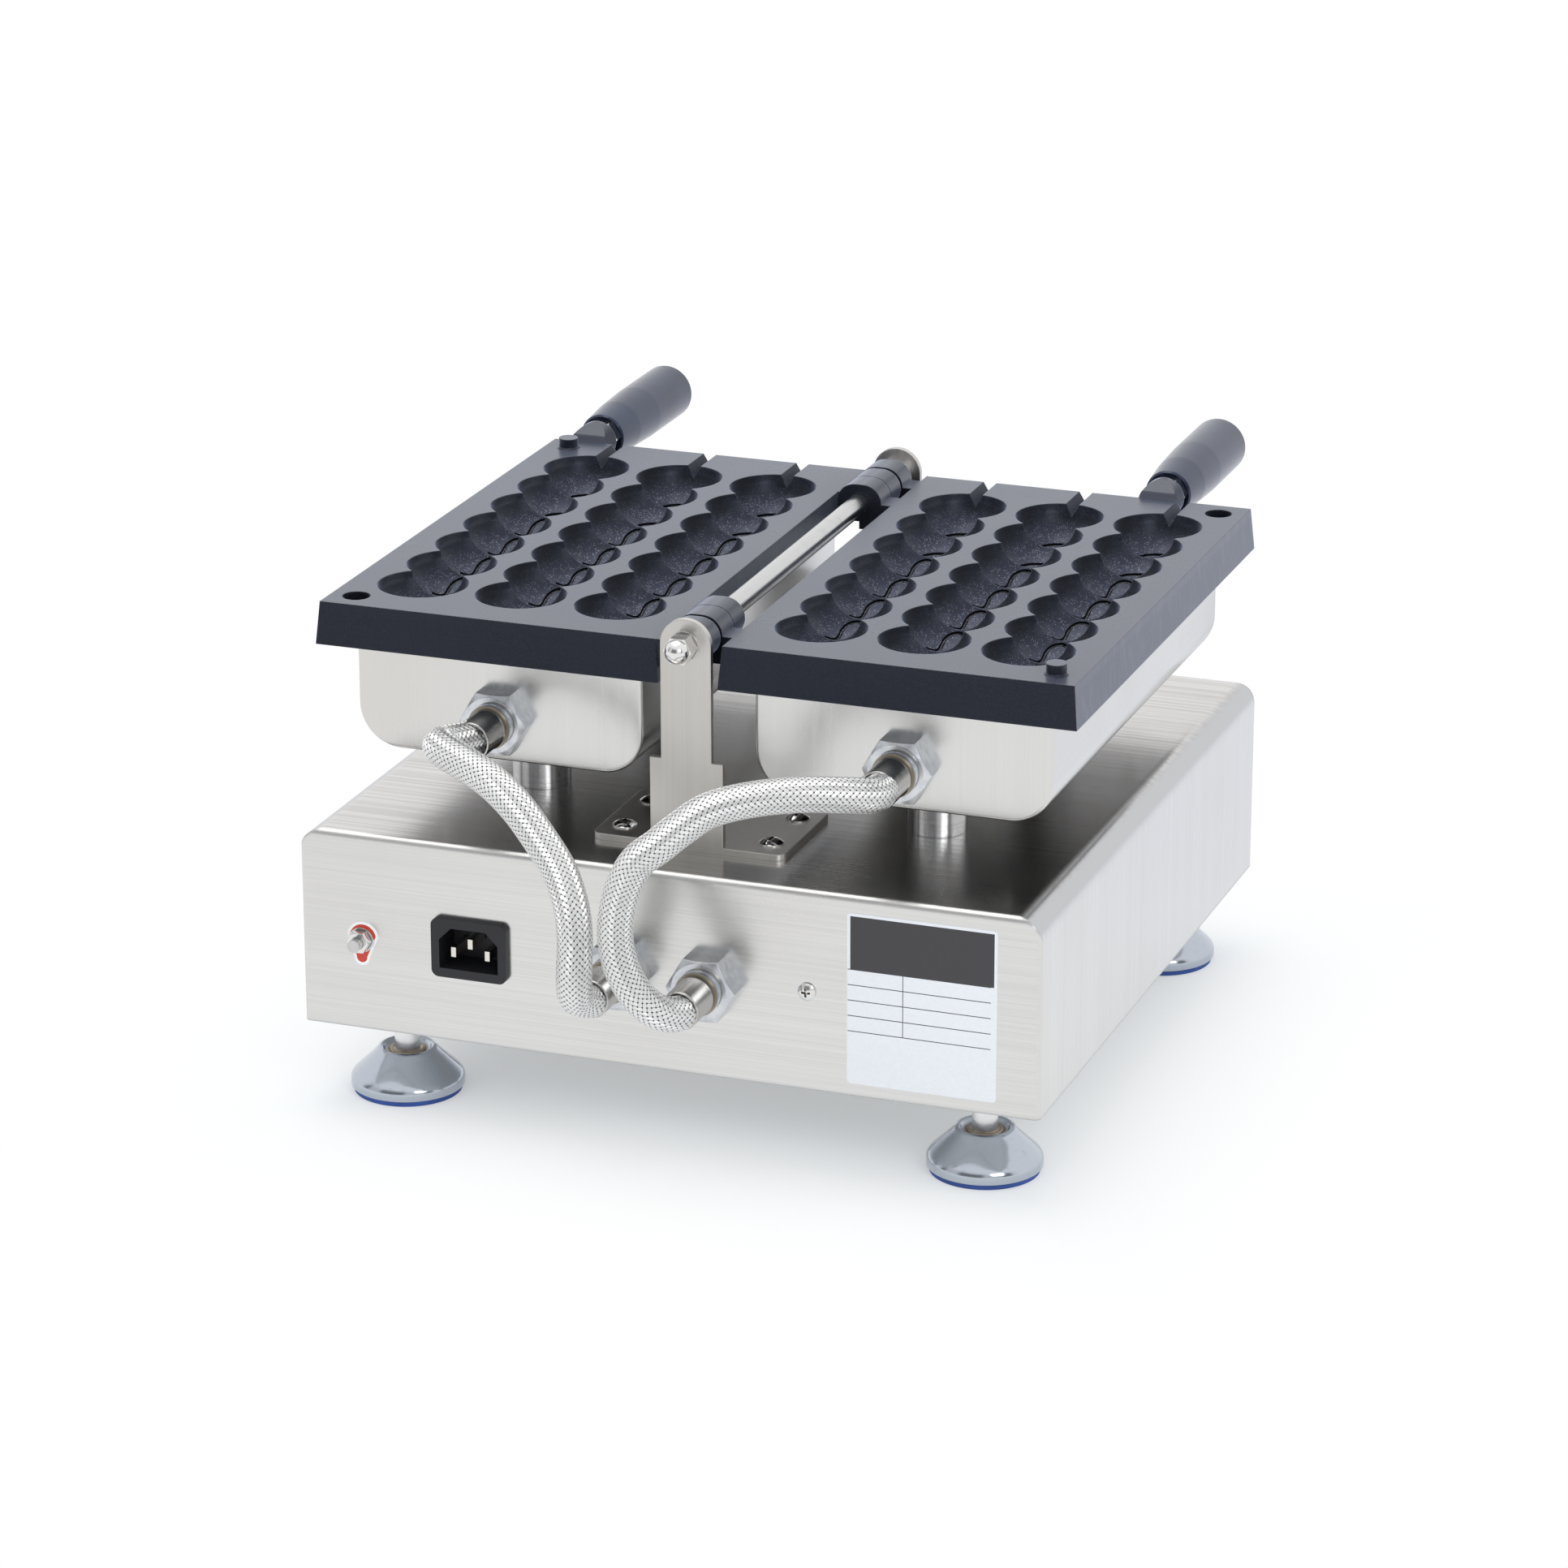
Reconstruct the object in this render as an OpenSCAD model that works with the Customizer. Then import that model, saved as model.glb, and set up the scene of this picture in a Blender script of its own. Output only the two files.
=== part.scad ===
// Turnable waffle maker with two hinged baking pans on one rod, seen from the operator's side.
// Left and right are the operator's. The handles and the controls are at the front, towards -Y.
// The origin is on the worktop, in the middle of the footprint, under the hinge rod.

/* [Base] */
// Width of the base, across the two pans
base_w = 300; // [296:1:330]
// Depth of the base, from the controls to the rear panel
base_d = 293; // [285:1:320]
// Height of the base housing
base_h = 80; // [72:1:110]
// Gap between the worktop and the base housing
stand_h = 35; // [32:1:42]
// Thickness of the sheet that the base is folded from
sheet_t = 1.2; // [0.8:0.1:2]
// Bend along the two long top edges
side_bend = 10; // [6:0.5:14]
// Bend along the front and rear top edges
end_bend = 2.5; // [2.2:0.1:4]
// Width of the lips that carry the bottom plate
lip_w = 14; // [10:1:18]
// Thickness of the bottom plate
bottom_t = 1.2; // [0.8:0.1:2]
// Diameter of the posts that the pans rest on
rest_d = 23; // [16:1:30]
// Distance of a rest post from the end of its plate
rest_in = 52; // [40:1:60]

/* [Feet] */
// Diameter of a foot at its rim
foot_d = 45; // [36:1:50]
// Height of a foot's bell, rim to neck
bell_h = 14; // [11:1:16]
// Diameter of the neck at the top of the bell
neck_d = 12.5; // [12:0.5:16]
// Diameter of the threaded stem
stem_d = 10; // [8:1:11]
// Thickness of the rubber pad
pad_t = 3.5; // [2.5:0.5:5]
// Distance of a foot from the side of the base
foot_in_x = 30.5; // [26:0.5:40]
// Distance of a foot from the front or rear of the base
foot_in_y = 29; // [26:0.5:40]

/* [Plates] */
// Height of the baking faces and the rod above the base
rod_rise = 82; // [76:1:100]
// Distance of a plate's inner edge from the rod's axis
plate_gap = 13.5; // [12.5:0.5:16]
// Width of a baking plate
plate_w = 138.5; // [136:0.5:146]
// Depth of a baking plate
plate_d = 240; // [236:1:256]
// Thickness of a plate at its rim
plate_t = 17; // [16:0.5:20]
// Outward lean of a plate's sides over its thickness
plate_draft = 1.5; // [0.5:0.1:2.2]
// Distance of the plates' front edge from the front of the base
plate_set_back = 23.5; // [20:0.5:26]
// Extra thickness of the casting inside the cover
block_t = 5; // [3.5:0.5:8]
// Waffles side by side on a plate
rows = 3; // [2:1:3]
// Balls in one waffle
scoops = 7; // [4:1:7]
// Distance of the first waffle's middle from the plate's inner edge
row_in = 27.5; // [25:0.1:30]
// Distance of the last waffle's middle from the plate's outer edge
row_out = 28.6; // [26:0.1:31]
// Radius of a scoop at the face
scoop_r = 17.9; // [16:0.1:18.5]
// Height of a ball's middle above the face
scoop_rise = 2; // [0.5:0.5:4]
// Distance of the front ball's middle from the plate's front edge
first_scoop = 36; // [33:0.5:42]
// Distance of the rear ball's middle from the plate's rear edge
last_scoop = 33.9; // [30:0.1:38]
// Width of the groove for the stick
groove_w = 5.6; // [4:0.2:7]
// Diameter of a locating pin
pin_d = 8; // [6:0.5:9]
// Height of a locating pin
pin_h = 4.5; // [3:0.5:5.5]
// Diameter of the hole that takes a locating pin
pin_hole_d = 11; // [10:0.5:12]

/* [Covers] */
// Distance of a cover from its plate's inner edge
cover_in = 9.3; // [8:0.1:11]
// Distance of a cover from its plate's outer edge
cover_out = 10.8; // [9:0.1:14]
// Distance of a cover from its plate's front and rear edges
cover_set = 10; // [8:0.5:14]
// Depth of a cover under its plate
cover_h = 43; // [40:0.5:46]
// Bend along a cover's two bottom edges
cover_bend = 17; // [12:0.5:19]
// Thickness of a cover's sheet
cover_t = 1; // [0.8:0.1:1.5]

/* [Hinge] */
// Diameter of the hinge rod
rod_d = 8; // [7:0.5:9]
// Diameter of the rod's threaded ends
rod_end_d = 6; // [4:0.5:6]
// Running clearance of the knuckles on the rod, on the radius
rod_play = 0.1; // [0.05:0.01:0.15]
// Half width of a knuckle across the rod
knuckle_r = 9.5; // [8.5:0.1:10.5]
// Half height of a knuckle
knuckle_half_h = 7.8; // [7:0.1:8.2]
// Length of a knuckle along the rod
knuckle_w = 12; // [10:0.5:13]
// Length of the rear end knuckle
rear_knuckle_w = 9; // [7:0.5:10]
// Length of the sleeve at the rod's front end
sleeve_w = 8.3; // [6:0.1:10]
// Thickness of the bracket's sheet
bracket_t = 2.5; // [2:0.1:3]
// Width of a bracket's foot plate
bracket_w = 78; // [72:1:84]
// Depth of a bracket's foot plate
bracket_d = 54; // [50:1:60]
// Width of a bracket's post below its shoulders
post_w = 29.5; // [26:0.5:34]
// Width of a bracket's post above its shoulders
post_neck_w = 20.4; // [18:0.2:24]
// Height of the shoulders above the base
shoulder_h = 36; // [30:1:44]

/* [Handles] */
// Length of a handle's grip
grip_l = 77; // [66:1:90]
// Diameter of a grip at its far end
grip_d = 23.4; // [20:0.1:23.8]
// Diameter of a grip at the nut
grip_neck_d = 19.2; // [16:0.1:20]
// Distance of the left handle from its plate's outer edge
left_handle_in = 39.5; // [38:0.5:42]
// Distance of the right handle from its plate's outer edge
right_handle_in = 15; // [13:0.5:16]
// Depth of the handles' axis below the face
handle_drop = 2; // [1:0.5:4]
// Diameter of the boss that holds a handle
boss_d = 16.6; // [14:0.2:18]
// Length of that boss
boss_l = 11; // [9:0.5:14]

/* [Hoses] */
// Diameter of a braided hose
hose_d = 13.5; // [11:0.5:14.5]
// Size of a gland's hexagon across its flats
gland_af = 24; // [22:0.5:26]
// Distance of a base gland from the middle of the rear panel
base_gland_x = 18; // [17:0.5:24]
// Height of the base glands above the base's lower edge
base_gland_z = 37.5; // [30:0.5:44]
// Height of a pan gland above the cover's bottom
pan_gland_z = 17; // [16.5:0.5:19]

/* [Controls and inlet] */
// Diameter of a control knob
knob_d = 38; // [32:1:42]
// Depth of a control knob
knob_h = 19; // [15:1:24]
// Distance of the knobs from the sides of the base
knob_side = 62; // [54:1:74]
// Height of the controls above the base's lower edge
control_z = 40; // [34:1:44]
// Swing of the power switch
rocker_swing = 24; // [16:1:28]
// Width of the mains inlet
inlet_w = 31; // [29:0.5:34]
// Height of the mains inlet
inlet_h = 24; // [23:0.5:27]
// Distance of the mains inlet from the right side of the base
inlet_side = 71; // [60:1:78]

/* [Hidden] */

// Facets asked for on round surfaces
$fn = 64;
// How far a cut runs past the face that it opens
overrun = 1;
// Clearance between pieces that are slid together
fit = 0.15;
// Clearance between pieces that turn or slide on each other
play = 0.1;
// Sides of the pans: the operator's left and right
LEFT = -1;
RIGHT = 1;

// Heights
base_top = stand_h + base_h;
face_z = base_top + rod_rise;
rim_z = face_z - plate_t;
block_z = rim_z - block_t;
cover_z = rim_z - cover_h;

// Places along the depth, with the footprint's middle at zero
handle_nut_t = 4.5;
gland_out = 21.5;
front_reach = base_d / 2 - plate_set_back + boss_l + handle_nut_t + grip_l;
rear_reach = base_d / 2 + gland_out;
base_y = (front_reach - rear_reach) / 2;
front_y = base_y - base_d / 2;
rear_y = base_y + base_d / 2;
plate_front = front_y + plate_set_back;
plate_rear = plate_front + plate_d;
plate_mid = (plate_front + plate_rear) / 2;

// Plates
plate_out = plate_gap + plate_w;
first_row = plate_gap + row_in;
row_pitch = (plate_w - row_in - row_out) / (rows - 1);
scoop_pitch = (plate_d - first_scoop - last_scoop) / (scoops - 1);
scoop_ball_r = sqrt(scoop_r * scoop_r + scoop_rise * scoop_rise);
groove_deep = 5;
pin_in_x = 10.5;
pin_in_y = 11;
pin_hole_deep = 7;
pin_foot = 0.8;
post_cast_d = 10;
post_in_y = 25;
screw_hole_d = 3.4;
boss_step = plate_draft * (boss_d / 2 - handle_drop) / plate_t + 3 * play;
web_t = 11;

// Covers
cover_w = plate_w - cover_in - cover_out;
cover_x = plate_gap + cover_in;
cover_mid = cover_x + cover_w / 2;
cover_front = plate_front + cover_set;
cover_rear = plate_rear - cover_set;
cover_lip = 1;
casting_w = cover_w - 2 * cover_t - 2 * fit;
casting_d = cover_rear - cover_front - 2 * (cover_lip + cover_t + fit);
cover_screw_head = 2;
cover_screw_grip = 12;

// Heater and insulation
heater_d = 7;
heater_side = 6.55;
heater_leg = (casting_w / 2 - heater_side - heater_d / 2) / 3;
post_in_x = 2 * heater_leg;
heater_end = 22;
insulation_t = 13;
insulation_front = 6;
insulation_rear = 16;

// Hinge
bracket_gap = 1;
bracket_corner = 4;
rear_post = plate_rear + bracket_gap;
front_post = plate_front - bracket_gap;
outer_gap = 2;
inner_gap = 0.5;
washer_t = 1.2;
washer_d = 11.5;
lock_nut_t = 3;
cap_nut_af = 10;
cap_nut_h = 9.2;
cap_hex_h = 4.6;
cap_thread = 6;
rod_thread = washer_t + lock_nut_t + cap_thread;
sleeve_d = 14;
bracket_screw_d = 5;
bracket_head_d = 9.6;
bracket_head_h = 2.3;
bracket_nut_af = 8;
bracket_screw_x = 30;
bracket_screw_in = 12;
bracket_screw_row = 29;
bracket_nut_h = 4;

// Handles
handle_nut_af = 14;
stud_d = 8;
stud_in_boss = 9;
stud_in_grip = 45;
grip_taper = 17;
grip_edge = 1.6;

// Glands
gland_thread = 20;
gland_bore_d = 11;
gland_hex_h = 9.5;
gland_chamfer = 1.6;
gland_collar_d = 17;
gland_collar_h = 2.5;
ferrule_d = 15;
gland_in = 11;
gland_lock_h = 5;
gland_lock_af = 27;

// Controls
control_in = 1.5;
bush_d = 9.5;
shaft_d = 6;
body_w = 42;
body_h = 40;
body_l = 24;
knob_gap = 1;
knob_x = base_w / 2 - knob_side;
knob_skirt = 3;
knob_grip_w = 11;
knob_grip_d = 31;
shaft_l = 14;
frame_w = 21;
frame_h = 27;
frame_t = 1.6;
window_w = 13;
window_h = 19;
frame_in = 16;
frame_wall = 1.4;
rocker_front = 5;
lamp_x = 26;
lamp_d = 9;
lamp_head = 12;
lamp_out = 4;
lamp_in = 18;

// Inlet and earth
inlet_t = 2.6;
inlet_x = base_w / 2 - inlet_side;
inlet_body_w = 27;
inlet_body_h = 19.5;
inlet_body_l = 24;
inlet_corner = 3;
socket_w = 24.3;
socket_h = 16.6;
socket_l = 15;
socket_chamfer = 5;
pin_w = 4;
pin_t = 2;
pin_l = 13;
pin_tail = 8;
pin_side = 7;
pin_up = 2;
pin_down = 2;
inlet_z = 38.8;
earth_side = 25.6;
earth_x = base_w / 2 - earth_side;
earth_z = 37;
earth_d = 5;
earth_nut_af = 8;
earth_nut_h = 4;
earth_washer_d = 10;
earth_out = 9;
earth_in = 14;
rear_screw_x = 58;
rear_screw_z = 39.7;
rear_screw_d = 4;
rear_screw_head = 7;
terminal_w = 46;
terminal_h = 22;
terminal_t = 17;

// Rest posts
rest_edge = 1.2;

// Feet
rim_h = 2.4;
pad_inset = 1.2;
stem_in = 18;
nut_h = 7;
nut_af = 16;
bell_steps = 12;

// Bottom plate
bottom_gap = 4;
vent_w = 3;
vent_l = 46;
vent_pitch = 9;
vents = 6;
vent_x = 45;

// Solid between two heights of Y, over an outline drawn in X and Z
module along_y(y0, y1) {
    translate([0, y1, 0]) rotate([90, 0, 0]) linear_extrude(y1 - y0) children();
}

// Solid between two places of X, over an outline drawn in Y and Z
module along_x(x0, x1) {
    translate([x0, 0, 0]) rotate([90, 0, 90]) linear_extrude(x1 - x0) children();
}

// Round bar along Y
module bar_y(x, z, y0, y1, d) {
    translate([x, y1, z]) rotate([90, 0, 0]) cylinder(d = d, h = y1 - y0);
}

// Cone along Y, from diameter d0 at y0 to d1 at y1
module cone_y(x, z, y0, y1, d0, d1) {
    translate([x, y1, z]) rotate([90, 0, 0]) cylinder(d1 = d1, d2 = d0, h = y1 - y0);
}

// Hexagon bar along Y, by its size across the flats
module hex_y(x, z, y0, y1, af) {
    translate([x, y1, z]) rotate([90, 0, 0]) cylinder(d = af / cos(30), h = y1 - y0, $fn = 6);
}

// Hexagon nut along Y whose corners are chamfered at its outer end
module nut_y(x, z, y0, y1, af, chamfer) {
    intersection() {
        hex_y(x, z, y0, y1, af);
        union() {
            bar_y(x, z, y0, y1 - chamfer, 2 * af);
            cone_y(x, z, y1 - chamfer, y1, af / cos(30), af - chamfer);
        }
    }
}

// Domed screw head with a cross recess, standing on zero
module screw_head(d, h) difference() {
    intersection() {
        cylinder(d = d, h = h);
        translate([0, 0, h - d * 3 / 4]) sphere(d = d * 3 / 2);
    }
    for (turn = [0, 90]) rotate(turn) translate([-d / 4, -d / 16, h / 2]) cube([d / 2, d / 8, h]);
}

// Outline with two rounded top corners, standing on zero
module arch(w, h, r) {
    translate([-w / 2, 0]) square([w, h - r]);
    translate([-w / 2 + r, 0]) square([w - 2 * r, h]);
    for (side = [LEFT, RIGHT]) translate([side * (w / 2 - r), h - r]) circle(r);
}

// Rectangle with rounded corners about the middle
module round_rect(w, h, r) {
    square([w - 2 * r, h], center = true);
    square([w, h - 2 * r], center = true);
    for (i = [-1, 1], j = [-1, 1]) translate([i * (w / 2 - r), j * (h / 2 - r)]) circle(r);
}

// Block with the base housing's bends, grown inwards by a wall
module base_block(wall) {
    translate([0, 0, stand_h]) intersection() {
        along_y(front_y + wall, rear_y - wall)
            arch(base_w - 2 * wall, base_h - wall, side_bend - wall);
        along_x(-base_w / 2, base_w / 2) translate([base_y, 0])
            arch(base_d - 2 * wall, base_h - wall, end_bend - wall);
        translate([0, base_y, 0]) linear_extrude(base_h)
            round_rect(base_w - 2 * wall, base_d - 2 * wall, end_bend - wall);
    }
}

// Holes that the fittings need in the base housing
module base_holes() {
    rear_cut = rear_y - sheet_t - overrun;
    front_cut = front_y + sheet_t + overrun;
    for (side = [LEFT, RIGHT])
        bar_y(side * base_gland_x, stand_h + base_gland_z, rear_cut, rear_y + overrun,
            gland_thread + 2 * fit);
    translate([inlet_x, 0, stand_h + inlet_z]) along_y(rear_cut, rear_y + overrun)
        square([inlet_body_w + 2 * fit, inlet_body_h + 2 * fit], center = true);
    bar_y(earth_x, stand_h + earth_z, rear_cut, rear_y + overrun, earth_d + 2 * fit);
    bar_y(-rear_screw_x, stand_h + rear_screw_z, rear_cut, rear_y + overrun,
        rear_screw_d + 2 * fit);
    for (side = [LEFT, RIGHT])
        bar_y(side * knob_x, stand_h + control_z, front_y - overrun, front_cut, bush_d + 2 * fit);
    translate([0, 0, stand_h + control_z]) along_y(front_y - overrun, front_cut)
        square([window_w + 2 * (frame_wall + fit), window_h + 2 * (frame_wall + fit)],
            center = true);
    for (side = [LEFT, RIGHT])
        bar_y(side * lamp_x, stand_h + control_z, front_y - overrun, front_cut,
            lamp_d + 2 * fit);
    for (place = bracket_screw_places()) translate([place[0], place[1], base_top - sheet_t - overrun])
        cylinder(d = bracket_screw_d + 2 * fit, h = sheet_t + 2 * overrun);
    for (place = bottom_screw_places()) translate([place[0], place[1], stand_h - overrun])
        cylinder(d = screw_hole_d, h = sheet_t + 2 * overrun);
}

module base_shell() color("silver") difference() {
    base_block(0);
    intersection() {
        base_block(sheet_t);
        translate([-base_w / 2, front_y, stand_h + sheet_t]) cube([base_w, base_d, base_h]);
    }
    translate([0, base_y, stand_h - overrun]) linear_extrude(sheet_t + 2 * overrun)
        square([base_w - 2 * lip_w, base_d - 2 * lip_w], center = true);
    base_holes();
}

function corners(dx, dy, y) = [for (i = [-1, 1], j = [-1, 1]) [i * dx, y + j * dy]];
function foot_places() = corners(base_w / 2 - foot_in_x, base_d / 2 - foot_in_y, base_y);
function bottom_screw_places() = corners(base_w / 2 - lip_w / 2, base_d / 2 - lip_w * 2, base_y);

module bottom_plate() color("silver") difference() {
    union() {
        translate([0, base_y, stand_h - bottom_t]) linear_extrude(bottom_t)
            round_rect(base_w - 2 * bottom_gap, base_d - 2 * bottom_gap, bottom_gap);
        for (place = foot_places()) translate([place[0], place[1], stand_h])
            cylinder(d = nut_af / cos(30), h = nut_h, $fn = 6);
    }
    for (place = foot_places()) translate([place[0], place[1], stand_h - bottom_t - overrun])
        cylinder(d = stem_d + 2 * play, h = bottom_t + nut_h + 2 * overrun);
    for (place = bottom_screw_places()) translate([place[0], place[1], stand_h - bottom_t - overrun])
        cylinder(d = screw_hole_d + 2 * fit, h = bottom_t + 2 * overrun);
    for (side = [LEFT, RIGHT], i = [0 : vents - 1])
        translate([side * vent_x - vent_l / 2, base_y + (i - (vents - 1) / 2) * vent_pitch - vent_w / 2,
            stand_h - bottom_t - overrun])
            cube([vent_l, vent_w, bottom_t + 2 * overrun]);
}

module bottom_screws() color("lightgray")
    for (place = bottom_screw_places()) translate([place[0], place[1], 0]) {
        translate([0, 0, stand_h - bottom_t]) mirror([0, 0, 1])
            screw_head(2 * screw_hole_d, cover_screw_head);
        translate([0, 0, stand_h - bottom_t])
            cylinder(d = screw_hole_d - 2 * play, h = bottom_t + sheet_t + cover_screw_head);
    }

module rear_screw() color("lightgray") {
    z = stand_h + rear_screw_z;
    translate([-rear_screw_x, rear_y, z]) rotate([-90, 0, 0])
        screw_head(rear_screw_head, cover_screw_head);
    bar_y(-rear_screw_x, z, rear_y - sheet_t - terminal_t / 2, rear_y, rear_screw_d);
}

// One levelling foot: bell outline by a half wave from rim to neck, with its stem
module foot(x, y) {
    rim_r = foot_d / 2;
    neck_r = neck_d / 2;
    bell = [for (i = [0 : bell_steps])
        [neck_r + (rim_r - neck_r) * (1 + cos(180 * i / bell_steps)) / 2,
            pad_t + rim_h + bell_h * i / bell_steps]];
    color("gainsboro") translate([x, y, 0]) {
        rotate_extrude() polygon(concat([[0, pad_t], [rim_r, pad_t]], bell,
            [[0, pad_t + rim_h + bell_h]]));
        translate([0, 0, pad_t + rim_h + bell_h])
            cylinder(d = stem_d, h = stand_h + stem_in - pad_t - rim_h - bell_h);
    }
}

module pad(x, y) color("royalblue") translate([x, y, 0])
    cylinder(d1 = foot_d - 2 * pad_inset, d2 = foot_d - pad_inset, h = pad_t);

module foot_front_left() foot(foot_places()[0][0], foot_places()[0][1]);
module foot_rear_left() foot(foot_places()[1][0], foot_places()[1][1]);
module foot_front_right() foot(foot_places()[2][0], foot_places()[2][1]);
module foot_rear_right() foot(foot_places()[3][0], foot_places()[3][1]);
module pad_front_left() pad(foot_places()[0][0], foot_places()[0][1]);
module pad_rear_left() pad(foot_places()[1][0], foot_places()[1][1]);
module pad_front_right() pad(foot_places()[2][0], foot_places()[2][1]);
module pad_rear_right() pad(foot_places()[3][0], foot_places()[3][1]);

// A hinge bracket, drawn with its post's inner face at zero and its foot plate towards -Y
module bracket() color("silver") difference() {
    union() {
        translate([0, bracket_t - bracket_d / 2, base_top]) linear_extrude(bracket_t)
            round_rect(bracket_w, bracket_d, bracket_corner);
        translate([0, 0, base_top]) along_y(0, bracket_t) {
            translate([-post_w / 2, bracket_t]) square([post_w, shoulder_h - bracket_t]);
            translate([-post_neck_w / 2, bracket_t]) square([post_neck_w, rod_rise - bracket_t]);
            translate([0, rod_rise]) circle(d = post_neck_w);
        }
    }
    bar_y(0, face_z, -overrun, bracket_t + overrun, rod_end_d + 2 * fit);
    for (i = [-1, 1], row = [0, 1])
        translate([i * bracket_screw_x, bracket_t - bracket_screw_in - row * bracket_screw_row,
            base_top - overrun])
            cylinder(d = bracket_screw_d + 2 * fit, h = bracket_t + 2 * overrun);
}

function bracket_screw_places() = [for (x = [-bracket_screw_x, bracket_screw_x], row = [0, 1],
    end = [[rear_post + bracket_t, -1], [front_post - bracket_t, 1]])
    [x, end[0] + end[1] * (bracket_screw_in + row * bracket_screw_row)]];

module rear_bracket() translate([0, rear_post, 0]) bracket();
module front_bracket() translate([0, front_post, 0]) rotate([0, 0, 180]) bracket();

// Dome headed screws with their nuts under the base's top
module bracket_screws() color("whitesmoke")
    for (place = bracket_screw_places()) translate([place[0], place[1], base_top + bracket_t]) {
        grip = bracket_t + sheet_t + bracket_nut_h;
        screw_head(bracket_head_d, bracket_head_h);
        translate([0, 0, -grip]) cylinder(d = bracket_screw_d, h = grip);
        translate([0, 0, -grip]) cylinder(d = bracket_nut_af / cos(30), h = bracket_nut_h, $fn = 6);
    }

module hinge_rod() color("gainsboro") {
    bar_y(0, face_z, front_post, rear_post, rod_d);
    bar_y(0, face_z, front_post - bracket_t - rod_thread, rear_post + bracket_t + rod_thread,
        rod_end_d);
}

// Washer, thin nut and cap nut, from a bracket's outer face at zero towards +Y
module rod_end() {
    washer_end = washer_t;
    nut_end = washer_end + lock_nut_t;
    dome_r = cap_nut_af / 2 - 3 * play;
    difference() {
        union() {
            bar_y(0, 0, 0, washer_end, washer_d);
            nut_y(0, 0, washer_end, nut_end, cap_nut_af, fit);
            nut_y(0, 0, nut_end, nut_end + cap_hex_h, cap_nut_af, fit);
            bar_y(0, 0, nut_end, nut_end + cap_nut_h - dome_r, 2 * dome_r);
            translate([0, nut_end + cap_nut_h - dome_r, 0]) sphere(dome_r);
        }
        bar_y(0, 0, -overrun, rod_thread, rod_end_d + 2 * play);
    }
}

module rod_nuts() color("whitesmoke") {
    translate([0, rear_post + bracket_t, face_z]) rod_end();
    translate([0, front_post - bracket_t, face_z]) rotate([0, 0, 180]) rod_end();
}

module rod_sleeve() color("silver") difference() {
    bar_y(0, face_z, front_post, front_post + sleeve_w, sleeve_d);
    bar_y(0, face_z, front_post - overrun, front_post + sleeve_w + overrun, rod_d + 2 * play);
}

// Turned posts on the base, under the middle of each cover
module rest_posts() color("gainsboro")
    for (side = [LEFT, RIGHT], i = [-1, 1])
        translate([side * cover_mid, plate_mid + i * (plate_d / 2 - rest_in), base_top]) {
            cylinder(d = rest_d, h = cover_z - base_top - rest_edge);
            cylinder(d1 = rest_d, d2 = rest_d - 2 * rest_edge, h = cover_z - base_top);
        }

// Mains inlet with a chamfered socket, earth contact upwards
module inlet_socket() color("dimgray") translate([inlet_x, 0, stand_h + inlet_z]) difference() {
    union() {
        along_y(rear_y, rear_y + inlet_t) round_rect(inlet_w, inlet_h, inlet_corner);
        along_y(rear_y - inlet_body_l, rear_y)
            square([inlet_body_w, inlet_body_h], center = true);
    }
    along_y(rear_y + inlet_t - socket_l, rear_y + inlet_t + overrun) polygon([
        [-socket_w / 2, -socket_h / 2], [socket_w / 2, -socket_h / 2],
        [socket_w / 2, socket_h / 2 - socket_chamfer], [socket_w / 2 - socket_chamfer, socket_h / 2],
        [socket_chamfer - socket_w / 2, socket_h / 2],
        [-socket_w / 2, socket_h / 2 - socket_chamfer]]);
    for (place = inlet_pin_places()) translate([place[0], 0, place[1]])
        along_y(rear_y - inlet_body_l - overrun, rear_y)
            square([pin_t + 2 * play, pin_w + 2 * play], center = true);
}

function inlet_pin_places() = [[-pin_side, -pin_down], [pin_side, -pin_down], [0, pin_up]];

module inlet_pins() color("gainsboro") for (place = inlet_pin_places())
    translate([inlet_x + place[0], 0, stand_h + inlet_z + place[1]])
        along_y(rear_y - inlet_body_l - pin_tail, rear_y + inlet_t - socket_l + pin_l)
            square([pin_t, pin_w], center = true);

module earth_stud() color("gainsboro")
    bar_y(earth_x, stand_h + earth_z, rear_y - earth_in, rear_y + earth_out, earth_d);

module earth_nuts() color("silver") difference() {
    union() {
        bar_y(earth_x, stand_h + earth_z, rear_y, rear_y + washer_t, earth_washer_d);
        nut_y(earth_x, stand_h + earth_z, rear_y + washer_t, rear_y + washer_t + earth_nut_h,
            earth_nut_af, 2 * fit);
        hex_y(earth_x, stand_h + earth_z, rear_y - sheet_t - earth_nut_h, rear_y - sheet_t,
            earth_nut_af);
    }
    bar_y(earth_x, stand_h + earth_z, rear_y - earth_in, rear_y + earth_out, earth_d + 2 * play);
}

// Hose gland through a wall whose outer face is at y: hexagon, collar, ferrule and lock nut
module gland(x, y, z, wall) {
    hex_end = y + gland_hex_h;
    collar_end = hex_end + gland_collar_h;
    color("lightsteelblue") difference() {
        union() {
            nut_y(x, z, y, hex_end, gland_af, gland_chamfer);
            bar_y(x, z, hex_end, collar_end, gland_collar_d);
            cone_y(x, z, collar_end, collar_end + fit, gland_collar_d, ferrule_d);
            bar_y(x, z, collar_end, y + gland_out, ferrule_d);
            bar_y(x, z, y - gland_in, y, gland_thread);
        }
        bar_y(x, z, y - gland_in - overrun, hex_end, gland_bore_d);
    }
    color("lightsteelblue") difference() {
        hex_y(x, z, y - wall - gland_lock_h, y - wall, gland_lock_af);
        bar_y(x, z, y - wall - gland_lock_h - overrun, y - wall + overrun,
            gland_thread + 2 * play);
    }
}

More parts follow.
